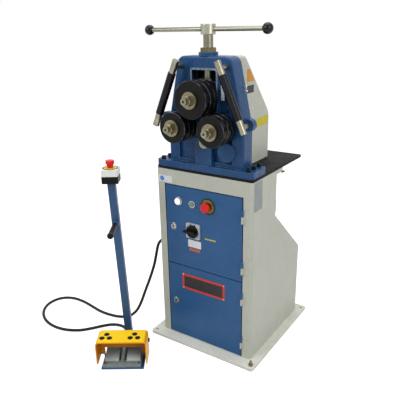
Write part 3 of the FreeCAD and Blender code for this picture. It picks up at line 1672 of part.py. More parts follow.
def pole():
    half = d.pole_width / 2
    y_low = pole_y - d.pole_depth / 2
    y_high = pole_y + d.pole_depth / 2
    top_x = pole_centre(d.pole_top)

    def section(width):
        return [
            (pole_x - width, case_floor),
            (pole_x + width, case_floor),
            (top_x + width, d.pole_top),
            (top_x - width, d.pole_top),
        ]

    tube = Solid("pole_body")
    tube.pad("y", y_low, y_high, section(half))
    tube.pocket("y", y_low + d.pole_wall, y_high - d.pole_wall, section(half - d.pole_wall))
    node("pole", at_station(tube.body))
    grip_x = pole_centre(d.pole_grip_height)
    grip_front = y_low - d.pole_grip_length
    grip = rod("y", d.pole_grip, grip_front, y_low, grip_x, d.pole_grip_height)
    node("pole_grip", at_station(group(grip)))


def button_box():
    x = pole_centre(d.pole_top)
    y = pole_y
    half_x = d.box_width / 2
    half_y = d.box_depth / 2
    low = d.pole_top
    joint = low + d.box_base_height
    top = joint + d.box_lid_height
    wall = d.box_wall
    corners = [(x + half_x * a, y + half_y * b) for a in (-1, 1) for b in (-1, 1)]
    outer = rectangle(x - half_x, y - half_y, x + half_x, y + half_y)
    inner = rectangle(x - half_x + wall, y - half_y + wall, x + half_x - wall, y + half_y - wall)
    base = Solid("box_base_body")
    base.pad("z", low, joint, outer)
    base.round(d.box_corner, "z", *corners)
    base.pocket("z", low + wall, joint + RUN_PAST, inner)
    node("station_box_base", at_station(base.body))
    lid = Solid("box_lid_body")
    lid.pad("z", joint, top, outer)
    lid.round(d.box_corner, "z", *corners)
    lid.pocket("z", joint - RUN_PAST, top - wall, inner)
    lid.pocket("z", top - wall - RUN_PAST, top + RUN_PAST, (x, y, d.box_button_hole))
    node("station_box_lid", at_station(lid.body))
    head_top = top + d.box_button_proud
    head_low = head_top - d.box_button_head
    stem_low = top - d.box_button_sink
    neck_low = top + d.box_button_travel + d.slide_gap
    neck = d.box_button_hole - d.control_play * 2
    stem = rod("z", neck, stem_low, neck_low, x, y)
    cone = taper("z", neck, d.box_button - 3, neck_low, head_low - neck_low, x, y)
    head = taper("z", d.box_button - 1, d.box_button - 3, head_low, d.box_button_head, x, y)
    node("station_button", at_station(fuse(stem, cone, head)))


# ---------------------------------------------------------------- cable
def gland(direction, face, thread, a, b):
    """Cable gland: thread through the wall, hexagon and tapered nose, with the cable's bore."""
    tip = d.gland_nut + d.gland_taper
    nut = hexagon("y", d.gland_flats, face, d.gland_nut, a, b)
    nose = taper("y", d.gland_flats - 2, d.gland_tip, face + d.gland_nut, d.gland_taper, a, b)
    screw = rod("y", d.gland_thread, face - thread, face + RUN_PAST, a, b)
    return fuse(nut, nose, screw), face + tip


def glands_and_cable():
    foot, foot_tip = gland("y", case_rear, d.rear_block_depth, d.foot_gland_x, d.foot_gland_height)
    at_station(foot)
    tip = d.gland_nut + d.gland_taper
    x, y, z = -half_cabinet, d.cabinet_gland_y, d.cabinet_gland_height
    nut = rod("x", d.gland_flats, x - d.gland_nut, x, y, z)
    nose = document.addObject("Part::Cone", "nose")
    bind(nose, "Radius1", d.gland_tip / 2)
    bind(nose, "Radius2", (d.gland_flats - 2) / 2)
    bind(nose, "Height", d.gland_taper)
    put(nose, x - tip, y, z, "x")
    screw = rod("x", d.gland_thread, x - RUN_PAST, x + d.cabinet_sheet, y, z)
    node("cable_glands", group(fuse(nut, nose, screw), foot))
    cable(Vector((x - tip).value, y.value, z.value), foot_tip)


def cable(start, foot_tip):
    """Loose cable: straight runs joined by tangent arcs, down the cabinet and over the floor."""
    radius = d.cable_diameter.value / 2
    lie = radius + 0.2
    end = station_point(d.foot_gland_x, foot_tip, d.foot_gland_height)
    entry = station_point(d.foot_gland_x, foot_tip + 28, d.foot_gland_height)
    route = [
        start,
        start + Vector(-32, 0, 0),
        start + Vector(-61, 0, -12),
        start + Vector(-81, -1, -38),
        Vector(-331, -124, 318),
        Vector(-342, -131, 254),
        Vector(-361, -145, 179),
        Vector(-381, -163, 112),
        Vector(-391, -183, 60),
        Vector(-399, -208, 26),
        Vector(-415, -240, lie + 2.5),
        Vector(-447, -264, lie),
        Vector(-496, -278, lie),
        Vector(-562, -283, lie),
        Vector(-634, -271, lie),
        Vector(-706, -260, lie),
        Vector(-770, -263, lie),
        Vector(-818, -286, lie),
        Vector(-842, -330, lie),
        Vector(-836, -386, lie),
        Vector(-800, -437, lie),
        Vector(-742, -474, lie),
        Vector(-673, -490, lie),
        Vector(-602, -483, lie),
        Vector(-537, -451, lie),
        station_point(-100, 278, lie),
        station_point(-54, 296, lie),
        station_point(-19, 305, lie),
        station_point(14, 298, lie),
        station_point(41, 277, lie),
        station_point(56, 246, lie + 2),
        entry,
        end,
    ]
    path, radii, length = rounded_path(route)
    first = (route[1] - route[0]).normalize()
    section = Part.Wire([Part.makeCircle(radius, route[0], first)])
    tube = path.makePipeShell([section], True, False)
    piece = document.addObject("Part::Feature", "cable_tube")
    piece.Shape = tube
    node("cable", piece)
    expected = math.pi * radius ** 2 * length
    print("cable length", round(length), "radii", [round(value) for value in radii])
    print("cable volume", round(tube.Volume), "expected", round(expected))
    if abs(tube.Volume - expected) > expected * 0.01:
        raise RuntimeError("the cable's tube does not have the volume of its path")


def rounded_path(route):
    """Wire through a route's runs with a tangent arc at each inner point."""
    edges = []
    radii = []
    here = route[0]
    for before, corner, after in zip(route, route[1:], route[2:]):
        back = (before - corner).normalize()
        ahead = (after - corner).normalize()
        turn = math.pi - back.getAngle(ahead)
        trim = 0.45 * min((before - corner).Length, (after - corner).Length)
        radius = trim / math.tan(turn / 2)
        centre_way = (back + ahead).normalize()
        middle = corner + centre_way * (radius / math.cos(turn / 2) - radius)
        arc_start = corner + back * trim
        arc_end = corner + ahead * trim
        edges.append(Part.LineSegment(here, arc_start).toShape())
        edges.append(Part.Arc(arc_start, middle, arc_end).toShape())
        radii.append(radius)
        here = arc_end
    edges.append(Part.LineSegment(here, route[-1]).toShape())
    return Part.Wire(edges), radii, sum(edge.Length for edge in edges)


def check_document():
    """Stop if any object failed or any node is not a valid shape."""
    document.recompute()
    for item in document.Objects:
        if "Invalid" in item.State or "Error" in item.State:
            raise RuntimeError(f"{item.Label} failed: {item.State}")
    for name, piece in nodes.items():
        if piece.Shape.isNull() or not piece.Shape.isValid() or not piece.Shape.Solids:
            raise RuntimeError(f"{name} is not a valid solid")


def build():
    base_plate()
    cabinet_shell()
    electrical_panel(cabinet_back_and_shelf())
    hinge_pins()
    doors()
    door_controls()
    main_switch()
    table()
    head_casting()
    head_bolts()
    side_bars()
    lower_bearings()
    screw_and_nut()
    carriage()
    rolls()
    gears()
    rear_cover()
    gearmotor()
    foot_base_plate()
    foot_housing()
    pedal("left_pedal", case_left + d.pedal_inset)
    pedal("right_pedal", case_right - d.pedal_inset - d.pedal_width)
    pedal_guard()
    pole()
    button_box()
    glands_and_cable()
    check_document()
    os.makedirs("parts", exist_ok=True)
    for name, piece in nodes.items():
        piece.Shape.exportStep(f"parts/{name}.step")
    print(len(nodes), "nodes written")


build()
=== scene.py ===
"""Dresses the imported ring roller: camera, floor, light, materials and the fine pieces."""
import bmesh
import bpy
import math
from mathutils import Matrix, Vector


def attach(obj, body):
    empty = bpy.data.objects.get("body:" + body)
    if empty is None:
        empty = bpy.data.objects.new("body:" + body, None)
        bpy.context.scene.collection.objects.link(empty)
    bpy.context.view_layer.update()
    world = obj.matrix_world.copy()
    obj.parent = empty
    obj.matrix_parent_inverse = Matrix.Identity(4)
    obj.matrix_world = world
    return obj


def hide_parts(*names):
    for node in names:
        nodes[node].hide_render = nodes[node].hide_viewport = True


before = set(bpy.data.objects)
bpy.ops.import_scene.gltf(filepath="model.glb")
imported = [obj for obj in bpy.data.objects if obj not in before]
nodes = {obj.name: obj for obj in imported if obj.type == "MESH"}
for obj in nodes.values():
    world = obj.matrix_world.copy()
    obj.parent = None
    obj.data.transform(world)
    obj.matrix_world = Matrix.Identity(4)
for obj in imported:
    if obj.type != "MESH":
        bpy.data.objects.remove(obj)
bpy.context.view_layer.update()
scene = bpy.context.scene
scene.view_settings.view_transform = "Standard"

# ---------------------------------------------------------------- the part's own sizes and places, in metres
FRONT = -0.226
CABINET_SIDE = 0.220
COVER_SIDE = 0.105
CASTING_FRONT = -0.202
# how far the faces of the controls stand out from the door
BEZEL_RISE = 0.008
PUSH_BEZEL_RISE = 0.004
PUSH_CAP_RISE = 0.010
SWITCH_PLATE_RISE = 0.008
LOCK_RISE = 0.0025
STICKER = 0.0004  # thickness of a label
# x and z of the controls on the doors
PILOT = (-0.115, 0.640)
PUSH = (-0.049, 0.638)
STOP = (0.0255, 0.642)
SWITCH = (-0.0445, 0.525)
UPPER_LOCK = (-0.144, 0.526)
LOWER_LOCK = (-0.144, 0.178)
# rolls: radii, places of their axes, and the discs along them
TOP_ROLL = 0.068
TOP_ROLL_HEIGHT = 1.054
LOWER_ROLL = 0.057
LOWER_ROLL_SIDE = 0.082
LOWER_ROLL_HEIGHT = 0.949
ROLL_FRONT = -0.294
DISC_WIDTH = 0.022
DISC_PITCH = 0.029
# width of the disc rims that are worn and carry a painted highlight
RIM_WEAR_AND_HIGHLIGHT = 0.0019
# x and z of the casting's slanted flank, at its foot and at its top
FLANK_FOOT = (0.166, 0.950)
FLANK_TOP = (0.113, 1.198)
CABLE_RADIUS = 0.0065
# the foot station's own frame in the machine's frame
STATION_PLACE = (-0.2637, -0.5848, 0)
STATION_TURN = math.radians(33.4)
STATION = Matrix.Translation(STATION_PLACE) @ Matrix.Rotation(STATION_TURN, 4, "Z")


# ---------------------------------------------------------------- camera
CAMERA_ANGLES = (33.997, 19.576, -1.0626)  # azimuth, elevation and roll in degrees
CAMERA_PLACE = (0.99082, -1.70226, 1.29491)
CAMERA_SHIFT = (-0.0032, 0.0014)
FOCAL_PIXELS = 487.5986
PICTURE_PIXELS = 400
SENSOR = 36  # millimetres


def make_camera():
    """Camera of the photograph, looking down at the machine's front and right side."""
    azimuth, elevation, roll = (math.radians(value) for value in CAMERA_ANGLES)
    back = Vector((
        math.sin(azimuth) * math.cos(elevation),
        -math.cos(azimuth) * math.cos(elevation),
        math.sin(elevation),
    ))
    side = (-back).cross(Vector((0, 0, 1))).normalized()
    up = side.cross(-back)
    right = side * math.cos(roll) + up * math.sin(roll)
    top = up * math.cos(roll) - side * math.sin(roll)
    data = bpy.data.cameras.new("camera")
    data.sensor_width = SENSOR
    data.lens = FOCAL_PIXELS / PICTURE_PIXELS * SENSOR
    data.shift_x, data.shift_y = CAMERA_SHIFT
    data.clip_start = 0.05
    data.clip_end = 60
    camera = bpy.data.objects.new("camera", data)
    scene.collection.objects.link(camera)
    rotation = Matrix((right, top, back)).transposed().to_4x4()
    camera.matrix_world = Matrix.Translation(CAMERA_PLACE) @ rotation
    scene.camera = camera


make_camera()


# ---------------------------------------------------------------- shader helpers
class Shader:
    """A node material with a Principled shader, built from small steps."""

    def __init__(self, name, color=(0.5, 0.5, 0.5), metallic=0.0, rough=0.5, gloss=0.5):
        self.material = bpy.data.materials.new(name)
        self.material.use_nodes = True
        self.tree = self.material.node_tree
        self.bsdf = self.tree.nodes["Principled BSDF"]
        self.set("Base Color", (*color, 1))
        self.set("Metallic", metallic)
        self.set("Roughness", rough)
        self.set("Specular IOR Level", gloss)
        self.color = None
        self.base = (*color, 1)
        self.normal = None
        self.material.diffuse_color = (*color, 1)

    def set(self, socket, value):
        self.bsdf.inputs[socket].default_value = value

    def node(self, kind, **settings):
        made = self.tree.nodes.new(kind)
        for key, value in settings.items():
            setattr(made, key, value)
        return made

    def link(self, start, end):
        self.tree.links.new(start, end)

    def place(self, scale=(1, 1, 1), shift=(0, 0, 0)):
        """Object coordinates, moved and stretched."""
        source = self.node("ShaderNodeTexCoord")
        mapping = self.node("ShaderNodeMapping")
        mapping.inputs["Location"].default_value = [a * b for a, b in zip(shift, scale)]
        mapping.inputs["Scale"].default_value = scale
        self.link(source.outputs["Object"], mapping.inputs["Vector"])
        return mapping.outputs["Vector"]

    def noise(self, scale, detail=3.0, rough=0.55, stretch=(1, 1, 1), low=0.3, high=0.7):
        """Noise of a scale per metre, spread to the range 0 to 1 between two of its levels."""
        made = self.node("ShaderNodeTexNoise")
        made.inputs["Scale"].default_value = scale
        made.inputs["Detail"].default_value = detail
        made.inputs["Roughness"].default_value = rough
        self.link(self.place(stretch), made.inputs["Vector"])
        return self.spread(made.outputs["Fac"], low, high)

    def spread(self, value, low, high, start=0.0, end=1.0):
        """Stretch the range low to high onto start to end, and stop at its ends."""
        made = self.node("ShaderNodeMapRange")
        made.inputs["From Min"].default_value = low
        made.inputs["From Max"].default_value = high
        made.inputs["To Min"].default_value = start
        made.inputs["To Max"].default_value = end
        self.link(value, made.inputs["Value"])
        return made.outputs["Result"]

    def math(self, operation, a, b):
        """One step of arithmetic on sockets or plain numbers."""
        made = self.node("ShaderNodeMath", operation=operation)
        for socket, value in zip(made.inputs, (a, b)):
            if isinstance(value, (int, float)):
                socket.default_value = value
            else:
                self.link(value, socket)
        return made.outputs[0]

    def tint(self, mask, color, amount=1.0):
        """Mix a colour over the base colour where the mask is 1."""
        made = self.node("ShaderNodeMix", data_type="RGBA")
        if self.color is None:
            made.inputs["A"].default_value = self.base
        else:
            self.link(self.color, made.inputs["A"])
        made.inputs["B"].default_value = (*color, 1)
        self.link(self.math("MULTIPLY", mask, amount), made.inputs["Factor"])
        self.color = made.outputs["Result"]
        self.link(self.color, self.bsdf.inputs["Base Color"])
        return self

    def shade(self, mask, factor, amount=1.0):
        """Darken or lighten the base colour by a factor where the mask is 1."""
        return self.tint(mask, [min(1.0, value * factor) for value in self.base[:3]], amount)

    def vary(self, socket, mask, low, high):
        """Drive a value of the shader between two numbers by a mask."""
        self.link(self.spread(mask, 0, 1, low, high), self.bsdf.inputs[socket])
        return self

    def bump(self, height, strength, distance):
        """Add a relief over what the normal already shows."""
        made = self.node("ShaderNodeBump")
        made.inputs["Strength"].default_value = strength
        made.inputs["Distance"].default_value = distance
        self.link(height, made.inputs["Height"])
        if self.normal is not None:
            self.link(self.normal, made.inputs["Normal"])
        self.normal = made.outputs["Normal"]
        self.link(self.normal, self.bsdf.inputs["Normal"])
        return self

    def soften(self, radius):
        """Let edges catch the light as if they were rounded."""
        made = self.node("ShaderNodeBevel", samples=4)
        made.inputs["Radius"].default_value = radius
        self.normal = made.outputs["Normal"]
        self.link(self.normal, self.bsdf.inputs["Normal"])
        return self

    def whereabouts(self, at_station=False):
        """Place in the machine's frame, or in the foot station's own frame, split in x, y and z."""
        source = self.node("ShaderNodeTexCoord").outputs["Object"]
        split = self.node("ShaderNodeSeparateXYZ")
        if at_station:
            turned = self.node("ShaderNodeMapping", vector_type="TEXTURE")
            turned.inputs["Location"].default_value = STATION_PLACE
            turned.inputs["Rotation"].default_value = (0, 0, STATION_TURN)
            self.link(source, turned.inputs["Vector"])
            source = turned.outputs[0]
        self.link(source, split.inputs[0])
        return split

    def within(self, low, high, at_station=False):
        """1 inside a box of the machine's frame, or of the foot station's, and 0 outside it."""
        split = self.whereabouts(at_station)
        mask = None
        for place, least, most in zip(split.outputs, low, high):
            above = self.math("GREATER_THAN", place, least)
            inside = self.math("MULTIPLY", above, self.math("LESS_THAN", place, most))
            mask = inside if mask is None else self.math("MULTIPLY", mask, inside)
        return mask

    def edges(self, radius, low=0.75, high=0.97):
        """Mask that is 1 along edges."""
        bevel = self.node("ShaderNodeBevel", samples=4)
        bevel.inputs["Radius"].default_value = radius
        geometry = self.node("ShaderNodeNewGeometry")
        dot = self.node("ShaderNodeVectorMath", operation="DOT_PRODUCT")
        self.link(bevel.outputs["Normal"], dot.inputs[0])
        self.link(geometry.outputs["Normal"], dot.inputs[1])
        return self.spread(dot.outputs["Value"], high, low)

    def disc_rims(self, centre, radius):
        """Broken ring along both edges of each disc of a roll about Y."""
        split = self.whereabouts()
        across = self.math("SUBTRACT", split.outputs["X"], centre[0])
        up = self.math("SUBTRACT", split.outputs["Z"], centre[2])
        reach = self.math("ADD", self.math("MULTIPLY", across, across), self.math("MULTIPLY", up, up))
        outside = self.math("GREATER_THAN", reach, (radius - RIM_WEAR_AND_HIGHLIGHT) ** 2)
        along = self.math("MODULO", self.math("SUBTRACT", split.outputs["Y"], ROLL_FRONT), DISC_PITCH)
        front = self.math("LESS_THAN", along, RIM_WEAR_AND_HIGHLIGHT)
        back = self.math("GREATER_THAN", along, DISC_WIDTH - RIM_WEAR_AND_HIGHLIGHT)
        edge = self.math("MULTIPLY", outside, self.math("MAXIMUM", front, back))
        return self.math("MULTIPLY", edge, self.noise(35, 3, low=0.46, high=0.68))

    def lathe_marks(self, axis, centre, per_metre, strength, distance=0.0003):
        """Fine turned rings about an axis through a centre."""
        wave = self.node(
            "ShaderNodeTexWave", wave_type="RINGS", rings_direction=axis, wave_profile="SIN"
        )
        wave.inputs["Scale"].default_value = per_metre
        wave.inputs["Distortion"].default_value = 0.6
        wave.inputs["Detail"].default_value = 1.0
        self.link(self.place(shift=[-value for value in centre]), wave.inputs["Vector"])
        return self.bump(wave.outputs["Fac"], strength, distance)


def paint(name, color, rough=0.42, peel=0.12, mottle=0.07, round_edge=0.0015, chips=0.0, gloss=0.3):
    """Sprayed paint: orange peel, a little unevenness, softened edges and small chips on them."""
    shader = Shader(name, color, 0.0, rough, gloss)
    if round_edge:
        shader.soften(round_edge)
    shader.shade(shader.noise(5, 3), 1 - mottle * 2)
    shader.shade(shader.noise(37, 4, low=0.45, high=0.75), 1 + mottle * 1.5, 0.7)
    if chips:
        worn = shader.math("MULTIPLY", shader.edges(0.0012), shader.noise(160, 4, low=0.52, high=0.6))
        shader.tint(worn, (0.2, 0.21, 0.22), chips)
    shader.vary("Roughness", shader.noise(22, 3), rough - 0.06, rough + 0.08)
    shader.bump(shader.noise(900, 2, low=0.2, high=0.8), peel, 0.0004)
    return shader


def cast_paint(name, color):
    """Gloss paint over a sand casting: grainy, with slow waves in the surface."""
    shader = Shader(name, color, 0.0, 0.3, 0.25)
    shader.soften(0.003)
    shader.shade(shader.noise(7, 4), 0.75)
    shader.shade(shader.noise(60, 4, low=0.5, high=0.8), 1.35, 0.6)
    shader.vary("Roughness", shader.noise(40, 3), 0.2, 0.4)
    shader.bump(shader.noise(45, 3), 0.35, 0.0012)
    shader.bump(shader.noise(330, 4), 0.3, 0.0006)
    return shader


def steel(name, color, rough=0.28, stretch=(1, 1, 1), grain=0.15, stain=0.12, edge=0.0006):
    """Machined steel with a directional grain and a few stains."""
    shader = Shader(name, color, 1.0, rough)
    if edge:
        shader.soften(edge)
    shader.shade(shader.noise(55, 4, low=0.4, high=0.75), 1 - stain * 2)
    shader.shade(shader.noise(420, 3, stretch=stretch), 0.8, 0.6)
    shader.vary("Roughness", shader.noise(120, 3, stretch=stretch), rough - 0.07, rough + 0.12)
    shader.bump(shader.noise(800, 3, stretch=stretch), grain, 0.0003)
    return shader


def plastic(name, color, rough=0.45, grain=0.1, round_edge=0.0005, gloss=0.2):
    """Moulded plastic with a fine grain and faint scuffs."""
    shader = Shader(name, color, 0.0, rough, gloss)
    if round_edge:
        shader.soften(round_edge)
    shader.shade(shader.noise(90, 3, low=0.45, high=0.8), 1.25, 0.5)
    shader.vary("Roughness", shader.noise(150, 3), rough - 0.08, rough + 0.1)
    shader.bump(shader.noise(1500, 2), grain, 0.0002)
    return shader


# ---------------------------------------------------------------- materials
CASTING_BLUE = (0.012, 0.068, 0.196)
DOOR_BLUE = (0.023, 0.103, 0.265)
GREY = (0.535, 0.55, 0.475)
BRIGHT = (0.29, 0.275, 0.205)
ZINC = (0.26, 0.232, 0.152)


def roll_material(name, centre, radius):
    """Blackened roll: turned faces, and rims of its three discs where the black is worn off, lightened
    further as a painted highlight.
    """
    shader = Shader(name, (0.0032, 0.003, 0.0033), 0.0, 0.34, 0.15)
    shader.soften(0.0012)
    shader.shade(shader.noise(30, 4), 1.8, 0.6)
    # chamfers: partly real wear and partly a painted highlight
    edges = shader.edges(0.0026, 0.6, 0.96)
    patches = shader.noise(70, 3, low=0.36, high=0.6)
    shader.tint(shader.math("MULTIPLY", edges, patches), (0.22, 0.22, 0.22), 0.7)
    # disc rims: partly real wear and partly a painted highlight
    shader.tint(shader.disc_rims(centre, radius), (0.20, 0.205, 0.215), 0.75)
    shader.vary("Roughness", shader.noise(60, 3), 0.26, 0.44)
    shader.lathe_marks("Y", centre, 260, 0.12)
    return shader


def casting_material():
    """The head's paint, with a painted highlight along its edges, painted shade inside its window, and worn
    bright on the window's rim.
    """
    shader = cast_paint("blue_casting", CASTING_BLUE)
    # painted highlight: paler blue in patches along the edges, where the glossy paint would catch the light
    edges = shader.edges(0.005, 0.6, 0.98)
    patches = shader.noise(30, 3, low=0.3, high=0.55)
    shader.tint(shader.math("MULTIPLY", edges, patches), (0.08, 0.22, 0.40), 0.75)
    # painted shade: the inner walls of the window darkened nearly to black
    inside = shader.within((-0.053, -0.2005, 0.985), (0.053, -0.1395, 1.1497))
    shader.tint(inside, (0.018, 0.017, 0.024), 0.95)
    rim = shader.within((-0.058, -0.2045, 1.06), (0.058, -0.2035, 1.157))
    worn = shader.math("MULTIPLY", rim, shader.noise(55, 3, low=0.25, high=0.5))
    shader.tint(worn, (0.36, 0.40, 0.42), 0.75)
    return shader


def cabinet_material():
    """The cabinet's paint, with painted shade on the edges of the door opening, for the shadow in the gap
    round the doors.
    """
    shader = paint("grey_cabinet", GREY, 0.44, 0.1, 0.03, 0.0015)
    # painted shade: the faces of the door opening darkened as the gap's shadow
    gap_shade = shader.within((-0.1813, -0.2258, 0.0125), (0.1813, -0.2150, 0.7063))
    return shader.tint(gap_shade, (0.008, 0.014, 0.024))


def guard_material():
    """The guard's yellow, with a painted highlight brightening its top and painted shade turning its inside
    dull orange.
    """
    shader = paint("guard_yellow", (0.96, 0.44, 0.003), 0.36, 0.1, 0.05, 0.0012, 0.3, gloss=0.2)
    # painted highlight: the top face brightened as where the light falls on it
    top = shader.within((-0.012, 0.003, 0.1262), (0.181, 0.083, 0.128), at_station=True)
    shader.tint(top, (1.0, 0.66, 0.005), 0.95)
    # painted shade: the inner faces darkened to dull orange
    inside = shader.within((-0.0134, 0.0005, 0.01), (0.1824, 0.0824, 0.1234), at_station=True)
    return shader.tint(inside, (0.52, 0.165, 0.003), 0.9)


def tread_material():
    """Grey treads, with painted shade darkening them towards the back, under the guard."""
    shader = paint("tread_grey", (0.58, 0.70, 0.70), 0.45, 0.2, 0.12, 0.001, 0.5)
    # painted shade: the back of the treads darkened nearly to black
    back = shader.spread(shader.whereabouts(at_station=True).outputs["Y"], 0.03, 0.075)
    return shader.tint(back, (0.02, 0.023, 0.022), 0.9)


def bezel_material():
    """Pale rings of the controls, with the stop button's collar dark."""
    shader = plastic("bezel_grey", (0.42, 0.46, 0.45), 0.35)
    collar = shader.within((0.008, -0.2325, 0.624), (0.043, -0.2262, 0.660))
    return shader.tint(collar, (0.035, 0.012, 0.008))


def dress(material, *names):
    """Give CAD nodes a material."""
    for name in names:
        mesh = nodes[name].data
        mesh.materials.clear()
        mesh.materials.append(material.material)


blue_casting = casting_material()
# painted shade: the blue cast paint darkened nearly to black for the carriage in the shaded window
blue_carriage_in_shade = cast_paint("blue_carriage_in_shade", (0.006, 0.010, 0.018))
blue_sheet = paint("blue_sheet", DOOR_BLUE, 0.34, 0.1, 0.05, 0.001, gloss=0.25)
blue_pole = paint("blue_pole", (0.034, 0.092, 0.205), 0.38, 0.1, 0.06, 0.0015, 0.4)
grey_sheet = paint("grey_sheet", GREY, 0.44, 0.1, 0.03, 0.0015)
grey_cabinet = cabinet_material()
grey_base = paint("grey_base", (0.74, 0.745, 0.67), 0.5, 0.12, 0.05, 0.0015, 0.3)
table_black = paint("table_black", (0.009, 0.0095, 0.0105), 0.6, 0.3, 0.15, 0.0015, gloss=0.1)
guard_yellow = guard_material()
bright = steel("bright_steel", BRIGHT, 0.28)
bright_upright = steel("bright_upright", (0.24, 0.235, 0.175), 0.26, (1, 1, 0.05), 0.12, 0.2)
hub_steel = steel("hub_steel", (0.42, 0.42, 0.33), 0.28, (1, 1, 0.1), 0.12, 0.15)
bright_bar = steel("bright_bar", (0.215, 0.21, 0.165), 0.26, (0.02, 1, 1), 0.05, 0.03)
bar_steel = steel("bar_steel", (0.33, 0.31, 0.235), 0.3, (1, 1, 0.15), 0.12, 0.18)
zinc = steel("zinc", ZINC, 0.34, stain=0.25)
bronze = steel("bronze", (0.125, 0.112, 0.060), 0.36, stain=0.2)
gear_steel = steel("gear_steel", (0.22, 0.21, 0.19), 0.34, (1, 0.1, 1), 0.15, 0.2)
black_plastic = plastic("black_plastic", (0.004, 0.0042, 0.005), 0.4, gloss=0.12)
sleeve_black = plastic("sleeve_black", (0.005, 0.004, 0.007), 0.3, 0.15, gloss=0.2)
lid_white = plastic("lid_white", (0.84, 0.84, 0.83), 0.42)
bezel_grey = bezel_material()
cap_green = plastic("cap_green", (0.20, 0.28, 0.25), 0.35)
plate_grey = plastic("plate_grey", (0.47, 0.50, 0.55), 0.4)
knob_black = plastic("knob_black", (0.004, 0.004, 0.005), 0.35, gloss=0.12)
ball_black = plastic("ball_black", (0.004, 0.003, 0.006), 0.12, 0.02, 0.0, gloss=0.25)
stop_red = plastic("stop_red", (0.70, 0.024, 0.018), 0.32, 0.04)
motor_grey = paint("motor_grey", (0.05, 0.055, 0.06), 0.45, 0.2, 0.1)
housing_grey = cast_paint("housing_grey", (0.25, 0.30, 0.305))
tread_grey = tread_material()
cable_black = plastic("cable_black", (0.009, 0.009, 0.010), 0.5, 0.2, 0.0)
chrome = steel("chrome", (0.55, 0.54, 0.50), 0.16, stain=0.06, grain=0.03)

dress(blue_casting, "head_casting")
dress(blue_carriage_in_shade, "carriage")
dress(blue_sheet, "upper_door", "lower_door")
dress(blue_pole, "pole", "foot_base_plate")
dress(grey_cabinet, "cabinet_shell")
dress(grey_sheet, "cabinet_rear_panel", "cabinet_shelf", "table_gussets", "rear_cover")
dress(grey_base, "base_plate")
dress(table_black, "table")
dress(guard_yellow, "pedal_guard")
dress(bright, "lower_bearings", "top_bearings", "drive_bush", "pedal_pin", "door_hinge_pins")
dress(bright, "top_shaft", "left_shaft", "right_shaft")
dress(bright_upright, "lead_screw")
dress(hub_steel, "handle_hub")
dress(bright_bar, "handle_bar")
dress(bar_steel, "guide_bars")
dress(zinc, "top_fasteners", "left_fasteners", "right_fasteners", "levelling_screw")
dress(bronze, "screw_nut")
dress(gear_steel, "left_gear", "right_gear", "drive_gear", "screw_keeper")
dress(black_plastic, "head_bolts", "guard_screws", "pole_grip", "station_box_base", "cable_glands")
dress(sleeve_black, "guide_sleeves")
dress(lid_white, "station_box_lid")
dress(bezel_grey, "control_bezels")
dress(cap_green, "push_button")
dress(plate_grey, "switch_plate", "electrical_panel")
dress(knob_black, "switch_knob")
dress(ball_black, "handle_knobs")
dress(stop_red, "stop_button", "station_button")
dress(motor_grey, "gearmotor")
dress(housing_grey, "foot_housing")
dress(tread_grey, "left_pedal", "right_pedal")
dress(chrome, "upper_lock", "lower_lock")
dress(roll_material("top_roll", (0, 0, TOP_ROLL_HEIGHT), TOP_ROLL), "top_roll_set")
for name, x in (("left", -LOWER_ROLL_SIDE), ("right", LOWER_ROLL_SIDE)):
    roll = roll_material(f"{name}_roll", (x, 0, LOWER_ROLL_HEIGHT), LOWER_ROLL)
    dress(roll, f"{name}_roll_set")


# ---------------------------------------------------------------- cable
CABLE_ROUTE = [
    (-0.2440, -0.1180, 0.3980),
    (-0.2760, -0.1180, 0.3970),
    (-0.3030, -0.1190, 0.3840),
    (-0.3210, -0.1200, 0.3570),
    (-0.3280, -0.1250, 0.3140),
    (-0.3400, -0.1310, 0.2520),
    (-0.3610, -0.1450, 0.1790),
    (-0.3810, -0.1630, 0.1120),
    (-0.3910, -0.1830, 0.0600),
    (-0.3990, -0.2080, 0.0260),
    (-0.4150, -0.2400, 0.0092),
    (-0.4470, -0.2640, 0.0067),
    (-0.4960, -0.2780, 0.0067),
    (-0.5620, -0.2830, 0.0067),
    (-0.6340, -0.2710, 0.0067),
    (-0.7060, -0.2600, 0.0067),
    (-0.7700, -0.2630, 0.0067),
    (-0.8180, -0.2860, 0.0067),
    (-0.8420, -0.3300, 0.0067),
    (-0.8360, -0.3860, 0.0067),
    (-0.8000, -0.4370, 0.0067),
    (-0.7420, -0.4740, 0.0067),
    (-0.6730, -0.4900, 0.0067),
    (-0.6020, -0.4830, 0.0067),
    (-0.5370, -0.4510, 0.0067),
    (-0.5002, -0.4078, 0.0067),
    (-0.4723, -0.3666, 0.0067),
    (-0.4474, -0.3370, 0.0067),
    (-0.4149, -0.3192, 0.0067),
    (-0.3799, -0.3177, 0.0067),
    (-0.3498, -0.3361, 0.0097),
    (-0.3303, -0.3748, 0.0220),
    (-0.3119, -0.4082, 0.0240),
]


def make_cable():
    """Cord from the cabinet's gland, in a loop on the floor, to the foot station's gland."""
    curve = bpy.data.curves.new("cable_line", "CURVE")
    curve.dimensions = "3D"
    curve.bevel_depth = CABLE_RADIUS
    curve.bevel_resolution = 6
    curve.resolution_u = 12
    curve.use_fill_caps = True
    spline = curve.splines.new("NURBS")
    spline.points.add(len(CABLE_ROUTE) - 1)
    for point, place in zip(spline.points, CABLE_ROUTE):
        point.co = (*place, 1)
    spline.order_u = 3
    spline.use_endpoint_u = True
    cable = bpy.data.objects.new("cable_line", curve)
    scene.collection.objects.link(cable)
    curve.materials.append(cable_black.material)
    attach(cable, "frame")
    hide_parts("cable")


make_cable()


# ---------------------------------------------------------------- shape helpers
def on_front(x, z, y=FRONT):
    """Place on a front face: the piece's own Z points forward, out of the machine, and its Y up."""
    return Matrix.Translation((x, y, z)) @ Matrix.Rotation(math.radians(90), 4, "X")


